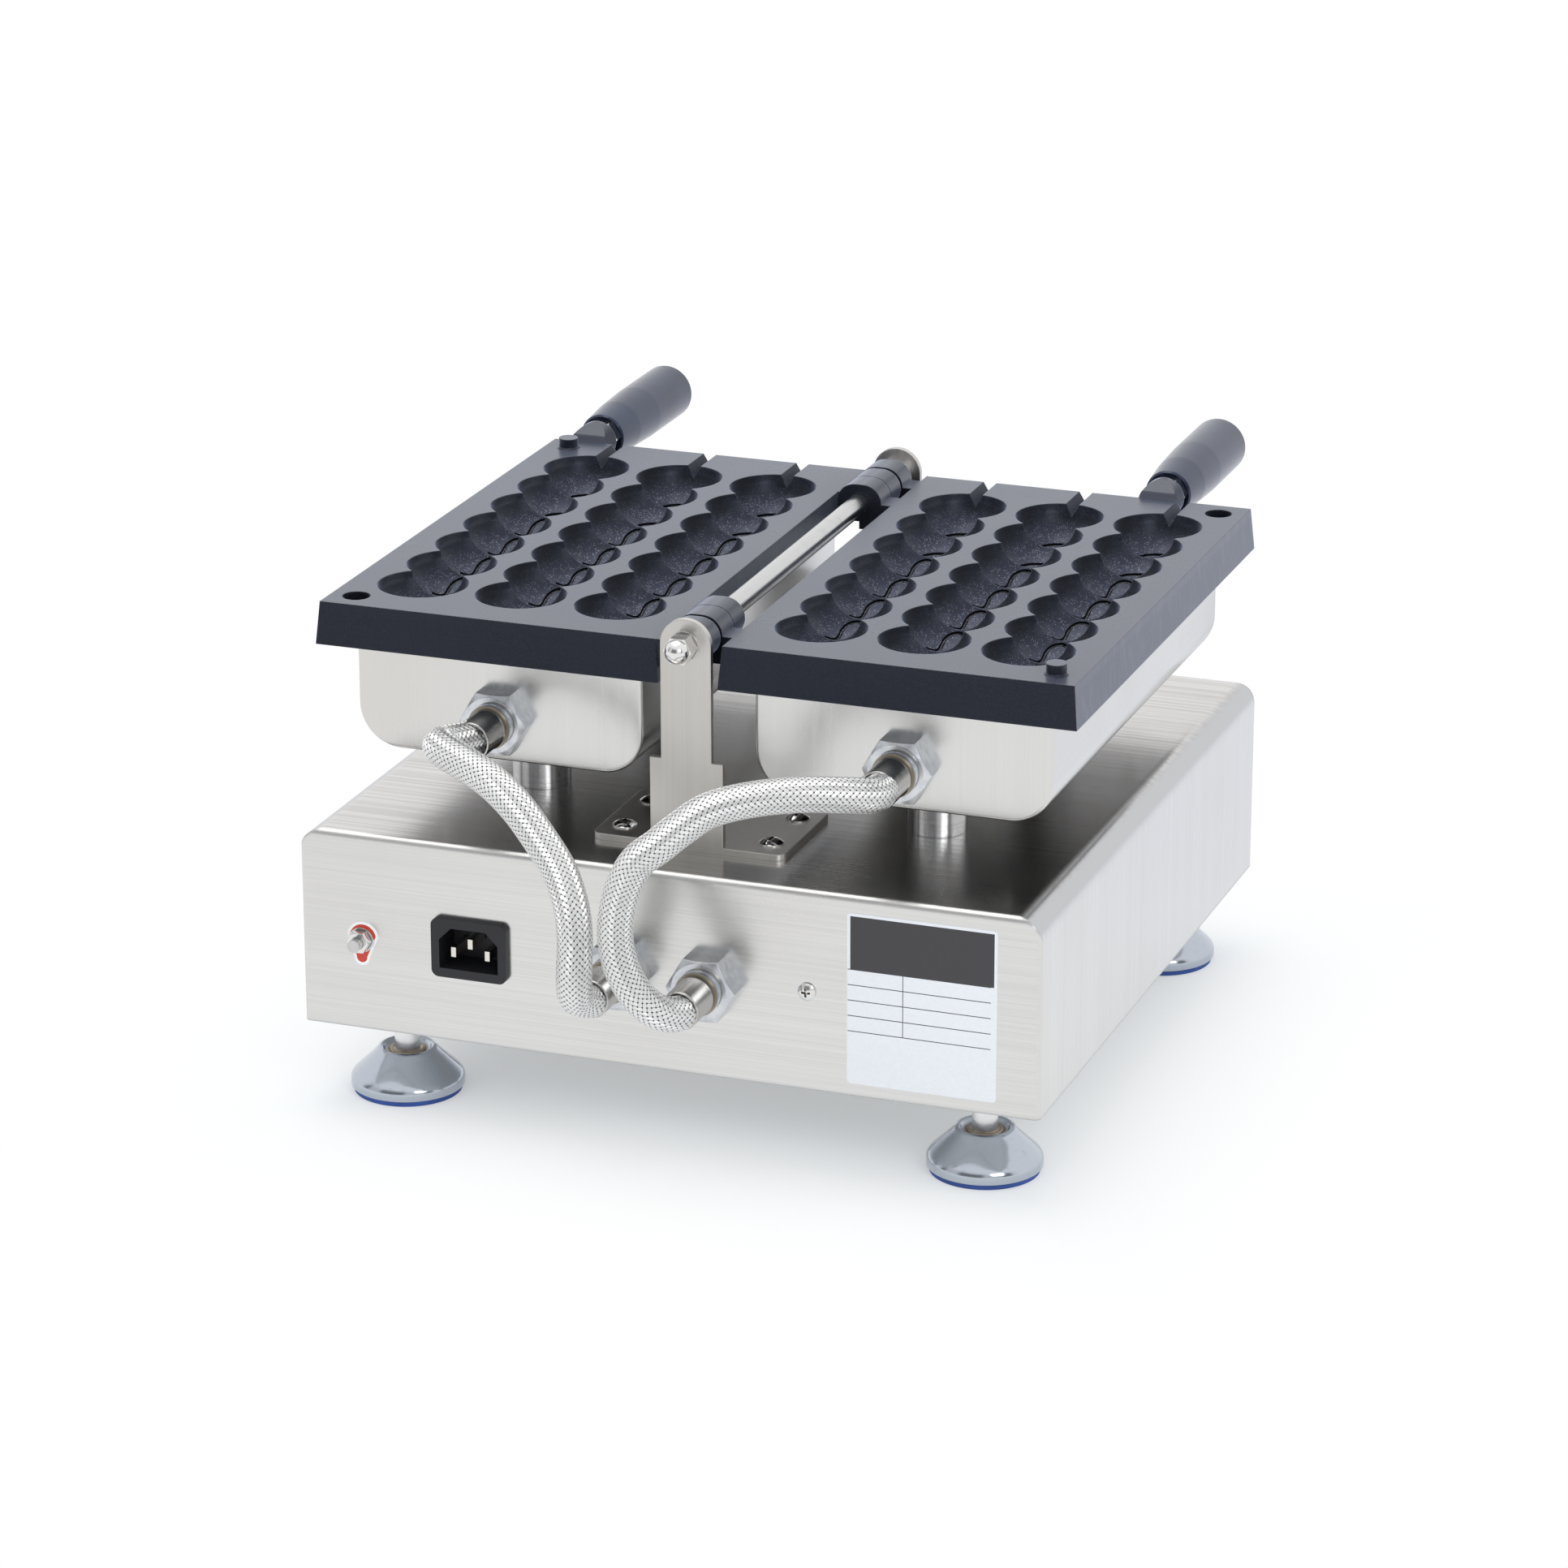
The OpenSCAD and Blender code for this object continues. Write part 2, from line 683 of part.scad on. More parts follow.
module base_gland_left() gland(-base_gland_x, rear_y, stand_h + base_gland_z, sheet_t);
module base_gland_right() gland(base_gland_x, rear_y, stand_h + base_gland_z, sheet_t);
module pan_gland_left()
    gland(-cover_mid, cover_rear - cover_lip, cover_z + pan_gland_z, cover_t);
module pan_gland_right()
    gland(cover_mid, cover_rear - cover_lip, cover_z + pan_gland_z, cover_t);

// Routes of the hoses from the base gland to the pan gland, with the base's middle at zero
hose_left_route = [[-18, 168, 72.5], [-18, 177, 72], [-15, 184, 74], [-11, 189, 78], [-6, 192, 85],
    [-1, 193, 96], [1, 192, 109], [-1, 190, 123], [-6, 188, 134], [-14, 186, 141], [-22, 183, 148],
    [-32, 179, 155], [-47, 173, 159], [-63, 165, 160], [-76, 155, 158], [-83, 143, 155],
    [-82, 127.5, 154]];
hose_right_route = [[18, 168, 72.5], [18, 176, 72], [20, 184, 76], [19, 189, 83], [18, 191, 92],
    [18, 190, 102], [21, 186, 113], [28, 180, 124], [38, 175, 134], [48, 171, 143], [59, 167, 150],
    [70, 163, 154], [79, 159, 156], [86, 154, 157], [89, 147, 156], [86, 138, 155],
    [82, 127.5, 154]];
// Sides of a hose
hose_sides = 12;
// Rings of a hose in each step of its route
hose_steps = 2;

// Smooth curve through the points of a route, with a few places in each step
function between(a, b, c, d, t) = 0.5 * (2 * b + (c - a) * t + (2 * a - 5 * b + 4 * c - d) * t * t
    + (3 * b - a - 3 * c + d) * t * t * t);
function ends(p) = concat([2 * p[0] - p[1]], p, [2 * p[len(p) - 1] - p[len(p) - 2]]);
function curve(p, n) = let (q = ends(p)) concat([for (i = [1 : len(q) - 3], k = [0 : n - 1])
    between(q[i - 1], q[i], q[i + 1], q[i + 2], k / n)], [p[len(p) - 1]]);
function unit(v) = v / norm(v);
// Direction of a route at a point: square to the glands at both ends
function heading(p, i) = i == 0 ? [0, 1, 0] : i == len(p) - 1 ? [0, -1, 0]
    : unit(p[i + 1] - p[i - 1]);
// Side direction carried along a route with as little turn as it can have
function carry(p, i) = i == 0 ? [1, 0, 0]
    : let (h = heading(p, i), s = carry(p, i - 1)) unit(s - (s * h) * h);
function ring(p, i, r, n) = let (h = heading(p, i), s = carry(p, i), u = cross(h, s))
    [for (k = [0 : n - 1]) p[i] + r * (cos(360 * k / n) * s + sin(360 * k / n) * u)];

// Tube of a given diameter along a route
module tube(route, d, n) {
    p = curve(route, hose_steps);
    count = len(p);
    points = [for (i = [0 : count - 1]) each ring(p, i, d / 2, n)];
    start = [for (k = [0 : n - 1]) k];
    finish = [for (k = [n - 1 : -1 : 0]) (count - 1) * n + k];
    sides = [for (i = [0 : count - 2], k = [0 : n - 1], half = [0, 1])
        let (a = i * n + k, b = i * n + (k + 1) % n)
            half == 0 ? [a, a + n, b] : [b, a + n, b + n]];
    polyhedron(points, concat([start, finish], sides));
}

module hose_left() color("gainsboro") translate([0, base_y, 0])
    tube(hose_left_route, hose_d, hose_sides);
module hose_right() color("gainsboro") translate([0, base_y, 0])
    tube(hose_right_route, hose_d, hose_sides);

// Body of a rotary control behind the front, with its threaded bush through the sheet
module control_body(x) color("dimgray") {
    z = stand_h + control_z;
    wall = front_y + sheet_t;
    difference() {
        union() {
            translate([x, 0, z]) along_y(wall, wall + body_l) round_rect(body_w, body_h, inlet_corner);
            bar_y(x, z, front_y - knob_gap / 2, wall, bush_d);
        }
        bar_y(x, z, front_y - overrun, wall + shaft_l + control_in + play, shaft_d + 2 * play);
    }
}

// Shaft of a rotary control, from inside its body to inside its knob
module control_shaft(x) color("gainsboro") {
    z = stand_h + control_z;
    bar_y(x, z, front_y - knob_gap - shaft_l, front_y + sheet_t + shaft_l + control_in, shaft_d);
}

// Knob with a skirt, a gripping bar across it and a pointer notch upwards
module control_knob(x) color("black") {
    z = stand_h + control_z;
    back = front_y - knob_gap;
    difference() {
        union() {
            bar_y(x, z, back - knob_skirt, back, knob_d);
            cone_y(x, z, back - 2 * knob_skirt, back - knob_skirt, knob_grip_d, knob_d - knob_skirt);
            intersection() {
                cone_y(x, z, back - knob_h, back - 2 * knob_skirt,
                    knob_grip_d - knob_skirt, knob_grip_d);
                translate([x, 0, z]) along_y(back - knob_h, back - 2 * knob_skirt)
                    round_rect(knob_grip_w, knob_grip_d + knob_skirt, knob_skirt);
            }
        }
        bar_y(x, z, back - shaft_l, back + overrun, shaft_d + 2 * play);
        translate([x, 0, z + knob_grip_d / 2 - knob_skirt])
            along_y(back - knob_h - overrun, back - knob_h + control_in)
                square([control_in, knob_skirt * 2], center = true);
    }
}

module thermostat_body() control_body(knob_x);
module thermostat_shaft() control_shaft(knob_x);
module thermostat_knob() control_knob(knob_x);
module timer_body() control_body(-knob_x);
module timer_shaft() control_shaft(-knob_x);
module timer_knob() control_knob(-knob_x);

// Snap-in frame of the power switch
module switch_frame() color("black") translate([0, 0, stand_h + control_z]) difference() {
    union() {
        along_y(front_y - frame_t, front_y) round_rect(frame_w, frame_h, 2 * control_in);
        along_y(front_y, front_y + frame_in)
            square([window_w + 2 * frame_wall, window_h + 2 * frame_wall], center = true);
    }
    along_y(front_y - frame_t - overrun, front_y + frame_in - frame_wall)
        square([window_w, window_h], center = true);
}

// Rocker that lies at half its swing, with its pivot inside the frame
module switch_rocker() color("firebrick")
    translate([0, front_y - frame_t + rocker_front, stand_h + control_z])
        rotate([-rocker_swing / 2, 0, 0]) {
            reach = window_h / 2 - 3 * play;
            half_w = window_w / 2 - 2 * play;
            along_x(-half_w, half_w) intersection() {
                circle(reach);
                rotate(-rocker_swing / 2) translate([-rocker_front, -window_h])
                    square([2 * rocker_front, 2 * window_h]);
                rotate(rocker_swing / 2) translate([-rocker_front, -window_h])
                    square([2 * rocker_front, 2 * window_h]);
            }
        }

// Two pilot lamps beside the switch
module pilot_lamps() color("darkorange") for (side = [LEFT, RIGHT]) {
    z = stand_h + control_z;
    bar_y(side * lamp_x, z, front_y - control_in, front_y, lamp_head);
    cone_y(side * lamp_x, z, front_y - lamp_out, front_y - control_in, lamp_d - overrun, lamp_d);
    bar_y(side * lamp_x, z, front_y, front_y + lamp_in, lamp_d);
}

// Terminal block inside the rear panel, held by the rear screw
module terminal_block() color("ivory") difference() {
    translate([-rear_screw_x, 0, stand_h + rear_screw_z])
        along_y(rear_y - sheet_t - terminal_t, rear_y - sheet_t)
            square([terminal_w, terminal_h], center = true);
    bar_y(-rear_screw_x, stand_h + rear_screw_z, rear_y - sheet_t - terminal_t / 2 - overrun,
        rear_y, rear_screw_d + 2 * play);
}

// Drafted slab of a baking plate
module plate_slab(side) {
    lean = plate_draft;
    intersection() {
        along_y(plate_front - lean, plate_rear + lean) polygon([
            [side * plate_gap, face_z], [side * plate_out, face_z],
            [side * (plate_out + lean), rim_z], [side * (plate_gap - lean), rim_z]]);
        along_x(side * (plate_gap + plate_out) / 2 - plate_w, side * (plate_gap + plate_out) / 2 + plate_w)
            polygon([[plate_front, face_z], [plate_rear, face_z],
                [plate_rear + lean, rim_z], [plate_front - lean, rim_z]]);
    }
}

// Knuckle round the rod between two places, with the web that joins it to its plate's side
module knuckle(side, y0, y1) {
    shift = knuckle_r - knuckle_half_h;
    web_end = plate_gap - plate_draft * web_t / plate_t;
    translate([0, 0, face_z]) along_y(y0, y1) {
        for (i = [-1, 1]) translate([i * shift, 0]) circle(knuckle_half_h);
        square([2 * shift, 2 * knuckle_half_h], center = true);
        polygon([[0, 0], [side * plate_gap, 0], [side * web_end, -web_t], [0, -web_t]]);
    }
}

// The right plate has the rear's outer pair of knuckles, and the left plate the front's
module plate_knuckles(side) {
    rear_mid = plate_rear - rear_knuckle_w - outer_gap;
    front_mid = front_post + sleeve_w + knuckle_w + outer_gap + play;
    if (side == RIGHT) {
        knuckle(side, plate_rear - rear_knuckle_w, plate_rear);
        knuckle(side, rear_mid - 2 * knuckle_w - inner_gap, rear_mid - knuckle_w - inner_gap);
        knuckle(side, front_mid, front_mid + knuckle_w);
    } else {
        knuckle(side, rear_mid - knuckle_w, rear_mid);
        knuckle(side, front_mid - outer_gap - knuckle_w, front_mid - outer_gap);
        knuckle(side, front_mid + knuckle_w + inner_gap, front_mid + 2 * knuckle_w + inner_gap);
    }
}

// Knuckles of a plate: of the same casting, but a piece of their own, so that each keeps its form
module knuckles(side) color([0.13, 0.13, 0.14]) difference() {
    plate_knuckles(side);
    bar_y(0, face_z, plate_front - overrun, plate_rear + overrun, rod_d + 2 * rod_play);
}

function row_x(i) = first_row + i * row_pitch;
function scoop_y(i) = plate_front + first_scoop + i * scoop_pitch;
function handle_x(side) = side == RIGHT ? plate_out - right_handle_in : left_handle_in - plate_out;
// Cast posts for the cover's screws
function post_places(side) = [for (i = [-1, 1], end = [plate_front + cover_set + post_in_y,
    plate_rear - cover_set - post_in_y]) [side * (cover_mid + i * post_in_x), end]];

// Waffle shapes: a chain of overlapping balls and the groove for the stick
module waffle(x) {
    for (i = [0 : scoops - 1]) translate([x, scoop_y(i), face_z + scoop_rise]) sphere(scoop_ball_r);
    along_y(plate_front - plate_draft - overrun, scoop_y(0)) polygon([
        [x, face_z - groove_deep], [x - groove_w / 2, face_z], [x - groove_w / 2, face_z + overrun],
        [x + groove_w / 2, face_z + overrun], [x + groove_w / 2, face_z]]);
}

// Baking plate: casting with waffle shapes, handle boss, locating pin and hole
module plate(side) {
    pin_x = side * (plate_out - pin_in_x);
    pin_y = side == RIGHT ? plate_front + pin_in_y : plate_rear - pin_in_y;
    hole_y = side == RIGHT ? plate_rear - pin_in_y : plate_front + pin_in_y;
    handle_z = face_z - handle_drop;
    color([0.13, 0.13, 0.14]) difference() {
        union() {
            difference() {
                union() {
                    plate_slab(side);
                    bar_y(handle_x(side), handle_z, plate_front - boss_l, plate_front, boss_d);
                }
                translate([side * (plate_gap + plate_out) / 2 - plate_w,
                    plate_front - boss_step, face_z]) cube([2 * plate_w, plate_d, boss_d]);
            }
            translate([pin_x, pin_y, face_z - overrun]) cylinder(d = pin_d, h = pin_h + overrun);
            translate([pin_x, pin_y, face_z]) cylinder(d1 = pin_d + 2 * pin_foot, d2 = pin_d, h = pin_foot);
            translate([side * cover_mid - casting_w / 2, cover_front + cover_lip + cover_t + fit, block_z])
                cube([casting_w, casting_d, block_t + overrun]);
            for (place = post_places(side)) translate([place[0], place[1], cover_z + cover_t])
                cylinder(d = post_cast_d, h = cover_h - cover_t);
        }
        for (i = [0 : rows - 1]) waffle(side * row_x(i));
        translate([pin_x, hole_y, face_z - pin_hole_deep])
            cylinder(d = pin_hole_d, h = pin_hole_deep + overrun);
        bar_y(handle_x(side), handle_z, plate_front - boss_l - overrun,
            plate_front - boss_l + stud_in_boss, stud_d + 2 * play);
        for (place = post_places(side)) translate([place[0], place[1], cover_z])
            cylinder(d = screw_hole_d, h = cover_screw_grip + overrun);
    }
}

// Outline of a cover, its rounded bottom down
module cover_outline(side, wall) {
    translate([side * cover_mid, rim_z]) mirror([0, 1])
        arch(cover_w - 2 * wall, cover_h - wall, cover_bend - wall);
}

module cover(side) color("silver") difference() {
    along_y(cover_front, cover_rear) difference() {
        cover_outline(side, 0);
        cover_outline(side, cover_t);
    }
    for (place = post_places(side)) translate([place[0], place[1], cover_z - overrun])
        cylinder(d = screw_hole_d + 2 * fit, h = cover_t + 2 * overrun);
}

// Two end plates of a cover, set in a little from its ends
module cover_ends(side) color("silver") difference() {
    for (y = [cover_front + cover_lip, cover_rear - cover_lip - cover_t])
        along_y(y, y + cover_t) cover_outline(side, cover_t + play);
    bar_y(side * cover_mid, cover_z + pan_gland_z, cover_rear - cover_lip - cover_t - overrun,
        cover_rear + overrun, gland_thread + 2 * fit);
}

module cover_screws(side) color("lightgray")
    for (place = post_places(side)) translate([place[0], place[1], cover_z]) {
        mirror([0, 0, 1]) screw_head(2 * screw_hole_d, cover_screw_head);
        cylinder(d = screw_hole_d - 2 * play, h = cover_screw_grip);
    }

// Half ring in a flat plane at height z, opening towards +Y or -Y
module half_ring(x, y, z, r, d, direction) {
    translate([x, y, z]) rotate([0, 0, direction > 0 ? 0 : 180])
        rotate_extrude(angle = 180) translate([r, 0]) circle(d = d, $fn = 32);
}

// Tubular heater: four legs joined by bends, lying under the casting
module heater(side) {
    z = block_z - heater_d / 2 - play;
    y0 = cover_front + post_in_y;
    y1 = cover_rear - heater_end - heater_leg;
    tail = cover_rear - cover_lip - cover_t - gland_in;
    color("darkolivegreen") {
        for (i = [-3, 3]) {
            bar_y(side * cover_mid + i * heater_leg, z, y0, tail - heater_leg, heater_d);
            bar_y(side * cover_mid + i * heater_leg, z, y0, tail, heater_d / 2);
        }
        for (i = [-1, 1]) bar_y(side * cover_mid + i * heater_leg, z, y0, y1, heater_d);
        for (i = [-2, 2]) half_ring(side * cover_mid + i * heater_leg, y0, z, heater_leg, heater_d, -1);
        half_ring(side * cover_mid, y1, z, heater_leg, heater_d, 1);
    }
}

// Mineral wool slab on the cover's flat bottom
module insulation(side) {
    w = cover_w - 2 * cover_bend;
    color("khaki") difference() {
        translate([side * cover_mid - w / 2, cover_front + insulation_front, cover_z + cover_t])
            cube([w, cover_rear - cover_front - insulation_front - insulation_rear, insulation_t]);
        for (place = post_places(side)) translate([place[0], place[1], cover_z])
            cylinder(d = post_cast_d + 2 * fit, h = cover_h);
    }
}

module handle_stud(side) color("gainsboro")
    bar_y(handle_x(side), face_z - handle_drop,
        plate_front - boss_l - handle_nut_t - stud_in_grip, plate_front - boss_l + stud_in_boss, stud_d);

module handle_nut(side) color("whitesmoke") difference() {
    y1 = plate_front - boss_l;
    hex_y(handle_x(side), face_z - handle_drop, y1 - handle_nut_t, y1, handle_nut_af);
    bar_y(handle_x(side), face_z - handle_drop, y1 - handle_nut_t - overrun, y1 + overrun,
        stud_d + 2 * play);
}

// Turned grip: a quick taper from its neck, a long near-straight barrel and a rounded far edge
module grip(side) {
    start = plate_front - boss_l - handle_nut_t;
    color([0.16, 0.17, 0.2]) translate([handle_x(side), start, face_z - handle_drop])
        rotate([90, 0, 0]) difference() {
            rotate_extrude() {
                polygon([[0, 0], [grip_neck_d / 2 - control_in / 2, 0], [grip_neck_d / 2, control_in / 2],
                    [grip_d / 2 - control_in / 2, grip_taper], [grip_d / 2, grip_l / 2],
                    [grip_d / 2, grip_l - grip_edge], [grip_d / 2 - grip_edge, grip_l], [0, grip_l]]);
                translate([grip_d / 2 - grip_edge, grip_l - grip_edge]) circle(grip_edge);
            }
            translate([0, 0, -overrun]) cylinder(d = stud_d + 2 * play, h = stud_in_grip + overrun);
        }
}

module plate_left() plate(LEFT);
module knuckles_left() knuckles(LEFT);
module cover_left() cover(LEFT);
module cover_ends_left() cover_ends(LEFT);
module cover_screws_left() cover_screws(LEFT);
module heater_left() heater(LEFT);
module insulation_left() insulation(LEFT);
module handle_stud_left() handle_stud(LEFT);
module handle_nut_left() handle_nut(LEFT);
module grip_left() grip(LEFT);
module plate_right() plate(RIGHT);
module knuckles_right() knuckles(RIGHT);
module cover_right() cover(RIGHT);
module cover_ends_right() cover_ends(RIGHT);
module cover_screws_right() cover_screws(RIGHT);
module heater_right() heater(RIGHT);
module insulation_right() insulation(RIGHT);
module handle_stud_right() handle_stud(RIGHT);
module handle_nut_right() handle_nut(RIGHT);
module grip_right() grip(RIGHT);

base_shell();
bottom_plate();
bottom_screws();
rear_screw();
foot_front_left();
foot_front_right();
foot_rear_left();
foot_rear_right();
pad_front_left();
pad_front_right();
pad_rear_left();
pad_rear_right();
front_bracket();
rear_bracket();
bracket_screws();
hinge_rod();
rod_nuts();
rod_sleeve();
rest_posts();
inlet_socket();
inlet_pins();
earth_stud();
earth_nuts();
base_gland_left();
base_gland_right();
hose_left();
hose_right();
thermostat_body();
thermostat_shaft();
thermostat_knob();
timer_body();
timer_shaft();
timer_knob();
switch_frame();
switch_rocker();
pilot_lamps();
terminal_block();
plate_left();
knuckles_left();
cover_left();
cover_ends_left();
cover_screws_left();
heater_left();
insulation_left();
pan_gland_left();
handle_stud_left();
handle_nut_left();
grip_left();
plate_right();
knuckles_right();
cover_right();
cover_ends_right();
cover_screws_right();
heater_right();
insulation_right();
pan_gland_right();
handle_stud_right();
handle_nut_right();
grip_right();
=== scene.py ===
"""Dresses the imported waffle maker: braided hoses, milled baking plates, printed pieces and every finish.

It is laid out as an add-on with one operator for each group of pieces, and it is run as a script.
"""

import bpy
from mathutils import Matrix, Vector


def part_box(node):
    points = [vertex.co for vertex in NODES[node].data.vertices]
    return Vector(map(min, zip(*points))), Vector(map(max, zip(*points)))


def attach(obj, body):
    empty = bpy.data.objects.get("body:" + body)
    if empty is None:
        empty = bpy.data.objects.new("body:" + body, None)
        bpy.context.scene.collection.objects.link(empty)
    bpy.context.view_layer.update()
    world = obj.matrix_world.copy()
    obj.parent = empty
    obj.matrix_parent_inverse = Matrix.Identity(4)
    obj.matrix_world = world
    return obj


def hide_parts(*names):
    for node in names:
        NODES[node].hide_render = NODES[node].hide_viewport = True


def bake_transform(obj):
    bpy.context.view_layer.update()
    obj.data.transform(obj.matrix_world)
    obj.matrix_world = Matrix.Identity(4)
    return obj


bl_info = {
    "name": "Lollipop waffle maker",
    "version": (1, 0, 0),
    "blender": (4, 5, 0),
    "location": "View3D > Sidebar > Waffle maker",
    "description": "Braided hoses, milled baking plates, printed pieces and finishes of a waffle maker",
    "category": "Object",
}

import math

import bmesh
import bpy
from bpy.props import FloatProperty, FloatVectorProperty, PointerProperty
from bpy.types import Operator, Panel, PropertyGroup, Scene
from mathutils import Matrix, Vector

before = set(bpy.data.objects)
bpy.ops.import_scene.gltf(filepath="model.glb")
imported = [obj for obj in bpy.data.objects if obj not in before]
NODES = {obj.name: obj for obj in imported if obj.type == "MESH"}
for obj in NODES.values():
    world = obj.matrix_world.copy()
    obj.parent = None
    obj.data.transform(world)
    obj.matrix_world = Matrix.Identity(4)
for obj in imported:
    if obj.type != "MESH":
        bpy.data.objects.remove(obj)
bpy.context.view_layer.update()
MM = 0.001
SIDES = (("left", -1), ("right", 1))

# Routes of the hoses in millimetres, from the base to the pan, as the solids have them
HOSE_ROUTES = {
    "left": [(-18, 191.75, 72.5), (-18, 200.75, 72), (-15, 207.75, 74), (-11, 212.75, 78),
             (-6, 215.75, 85), (-1, 216.75, 96), (1, 215.75, 109), (-1, 213.75, 123),
             (-6, 211.75, 134), (-14, 209.75, 141), (-22, 206.75, 148), (-32, 202.75, 155),
             (-47, 196.75, 159), (-63, 188.75, 160), (-76, 178.75, 158), (-83, 166.75, 155),
             (-82, 151.25, 154)],
    "right": [(18, 191.75, 72.5), (18, 199.75, 72), (20, 207.75, 76), (19, 212.75, 83),
              (18, 214.75, 92), (18, 213.75, 102), (21, 209.75, 113), (28, 203.75, 124),
              (38, 198.75, 134), (48, 194.75, 143), (59, 190.75, 150), (70, 186.75, 154),
              (79, 182.75, 156), (86, 177.75, 157), (89, 170.75, 156), (86, 161.75, 155),
              (82, 151.25, 154)],
}

# Middle and half sizes of the base, and a foot's distances from the middle of the base
BASE_Y, BASE_HALF_X, BASE_HALF_Y = 0.02375, 0.15, 0.1465
FOOT_X, FOOT_Y = 0.1195, 0.1175

# Rows of balls in a plate, the first ball of a row and the height of the balls' middles
ROW_X, ROW_PITCH, FIRST_BALL_Y, BALL_Z = (0.041, 0.0822, 0.1234), 0.0412, -0.06325, 0.199

# Between these distances from the hinge, what looks along X is a wall of a ball or stick groove
HOLLOWS_FROM, HOLLOWS_TO = 0.03, 0.136

# A plate is a ball or groove below this height, and its handle boss starts at this Y and above this Z
HOLLOW_BELOW, BOSS_Y, BOSS_Z = 0.1935, -0.0995, 0.1962

# Line round a rest post, and a foot's stem and dish by their distances from its middle
POST_LINE_Z, STEM_RADIUS, DISH_RADIUS, DISH_Z = 0.1335, 0.0052, 0.0082, 0.01

# Mouths of the right hand glands in millimetres; the left hand ones mirror them
GLANDS = (("base", (18, 170.25, 72.5)), ("pan", (82, 129.75, 154)))

# Upper left corner of the label and middle of the tag's round end, in millimetres
REAR_PANEL_Y, LABEL_LEFT, LABEL_TOP = 170.25, -133.0, 108.5
TAG_PLACE = (124.1, REAR_PANEL_Y + 0.2, 72.6)

# The camera of the photograph: place, and heading, tilt down and roll in degrees
CAMERA_PLACE = (-0.7315, 2.04055, 0.8621)
CAMERA_HEADING, CAMERA_TILT, CAMERA_ROLL, CAMERA_LENS = 200.05, 19.52, -0.08, 130.62


# Sizes, colours and light, which the panel shows


def length_of(name, description, default):
    return FloatProperty(name=name, description=description, default=default, min=0.0, unit="LENGTH")


def colour_of(name, description, default):
    return FloatVectorProperty(name=name, description=description, default=default, size=3,
                               min=0.0, max=1.0, subtype="COLOR")


def strength_of(name, description, default):
    return FloatProperty(name=name, description=description, default=default, min=0.0)


class WaffleSizes(PropertyGroup):
    """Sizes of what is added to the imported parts"""
    hose_diameter: length_of("Hose diameter", "Outside diameter of the braided hoses", 0.0135)
    smile_width: length_of("Groove width", "Width of the milled line in each ball", 0.0016)
    smile_depth: length_of("Groove depth", "Depth of the milled line in each ball", 0.0008)
    ball_radius: length_of("Ball radius", "Radius of each ball of the waffle", 0.01801)
    ball_pitch: length_of("Ball pitch", "Distance from one ball to the next in a row", 0.02835)
    plate_edge: length_of("Plate edge", "Softness of the casting's edges", 0.0007)
    sheet_edge: length_of("Sheet edge", "Softness of the folded sheet's edges", 0.0006)
    base_fold: length_of("Base fold", "Softness of the base's folds", 0.0017)
    cover_bend: length_of("Cover bend", "Bend along a cover's two bottom edges", 0.017)
    cover_sheet: length_of("Cover sheet", "Thickness of a cover's sheet", 0.001)
    label_width: length_of("Label width", "Width of the bare rating label", 0.059)
    label_height: length_of("Label height", "Height of the bare rating label", 0.0685)
    label_band: length_of("Label band", "Height of the label's dark band", 0.0225)
    tag_radius: length_of("Tag radius", "Radius of the earth tag's upper end", 0.0066)


class WaffleColours(PropertyGroup):
    """Colours of the finishes"""
    coating: colour_of("Coating", "Non-stick coating of the baking plates", (0.012, 0.0135, 0.022))
    stainless: colour_of("Stainless", "Brushed sheet of the base and covers", (0.72, 0.72, 0.715))
    bracket: colour_of("Brackets", "Satin sheet of the hinge brackets", (0.62, 0.605, 0.58))
    bright_steel: colour_of("Bright steel", "Screws and nuts", (0.78, 0.78, 0.77))
    rod: colour_of("Rod", "Ground steel of the hinge rod and studs", (0.66, 0.66, 0.66))
    aluminium: colour_of("Aluminium", "Turned rest posts", (0.74, 0.74, 0.745))
    chrome: colour_of("Chrome", "Bells of the levelling feet", (0.50, 0.54, 0.60))
    pad: colour_of("Pads", "Rubber pads under the feet", (0.035, 0.09, 0.34))
    zinc: colour_of("Zinc", "Zinc plated hose glands", (0.66, 0.69, 0.74))
    braid: colour_of("Braid", "Wire braid of the hoses", (0.90, 0.90, 0.90))
    inlet: colour_of("Inlet", "Black plastic of the inlet and the switch frame", (0.013, 0.013, 0.018))
    grip: colour_of("Grips", "Phenolic of the grips", (0.022, 0.030, 0.058))
    knob: colour_of("Knobs", "Glossy plastic of the knobs", (0.018, 0.018, 0.019))
    rocker: colour_of("Rocker", "Plastic of the power rocker", (0.42, 0.025, 0.018))
    lamp: colour_of("Lamps", "Lenses of the pilot lamps", (0.75, 0.26, 0.03))
    paper: colour_of("Label", "Ground of the bare label", (0.87, 0.88, 0.91))
    ink: colour_of("Ink", "Dark print on label and dials", (0.045, 0.043, 0.047))
    tag: colour_of("Tag", "Field of the earth tag", (0.68, 0.055, 0.03))


class WaffleLight(PropertyGroup):
    """Strengths of the studio's light"""
    room: strength_of("Room", "Light of the room on matt surfaces", 0.8)
    lamp: strength_of("Lamp", "Watts of the soft lamp above", 13.0)
    fill: strength_of("Fill", "Watts of the lamp beside the camera", 9.0)


def sizes():
    return bpy.context.scene.waffle_sizes


def colours():
    return bpy.context.scene.waffle_colours


# Shader maths


def maths(operation, turned=False):
    """Makes a method that adds a Math node, turned when the reading is the second term."""
    def method(self, *others):
        terms = (*others, self) if turned else (self, *others)
        return self.finish.node("ShaderNodeMath", {"operation": operation}, dict(enumerate(terms)))
    return method


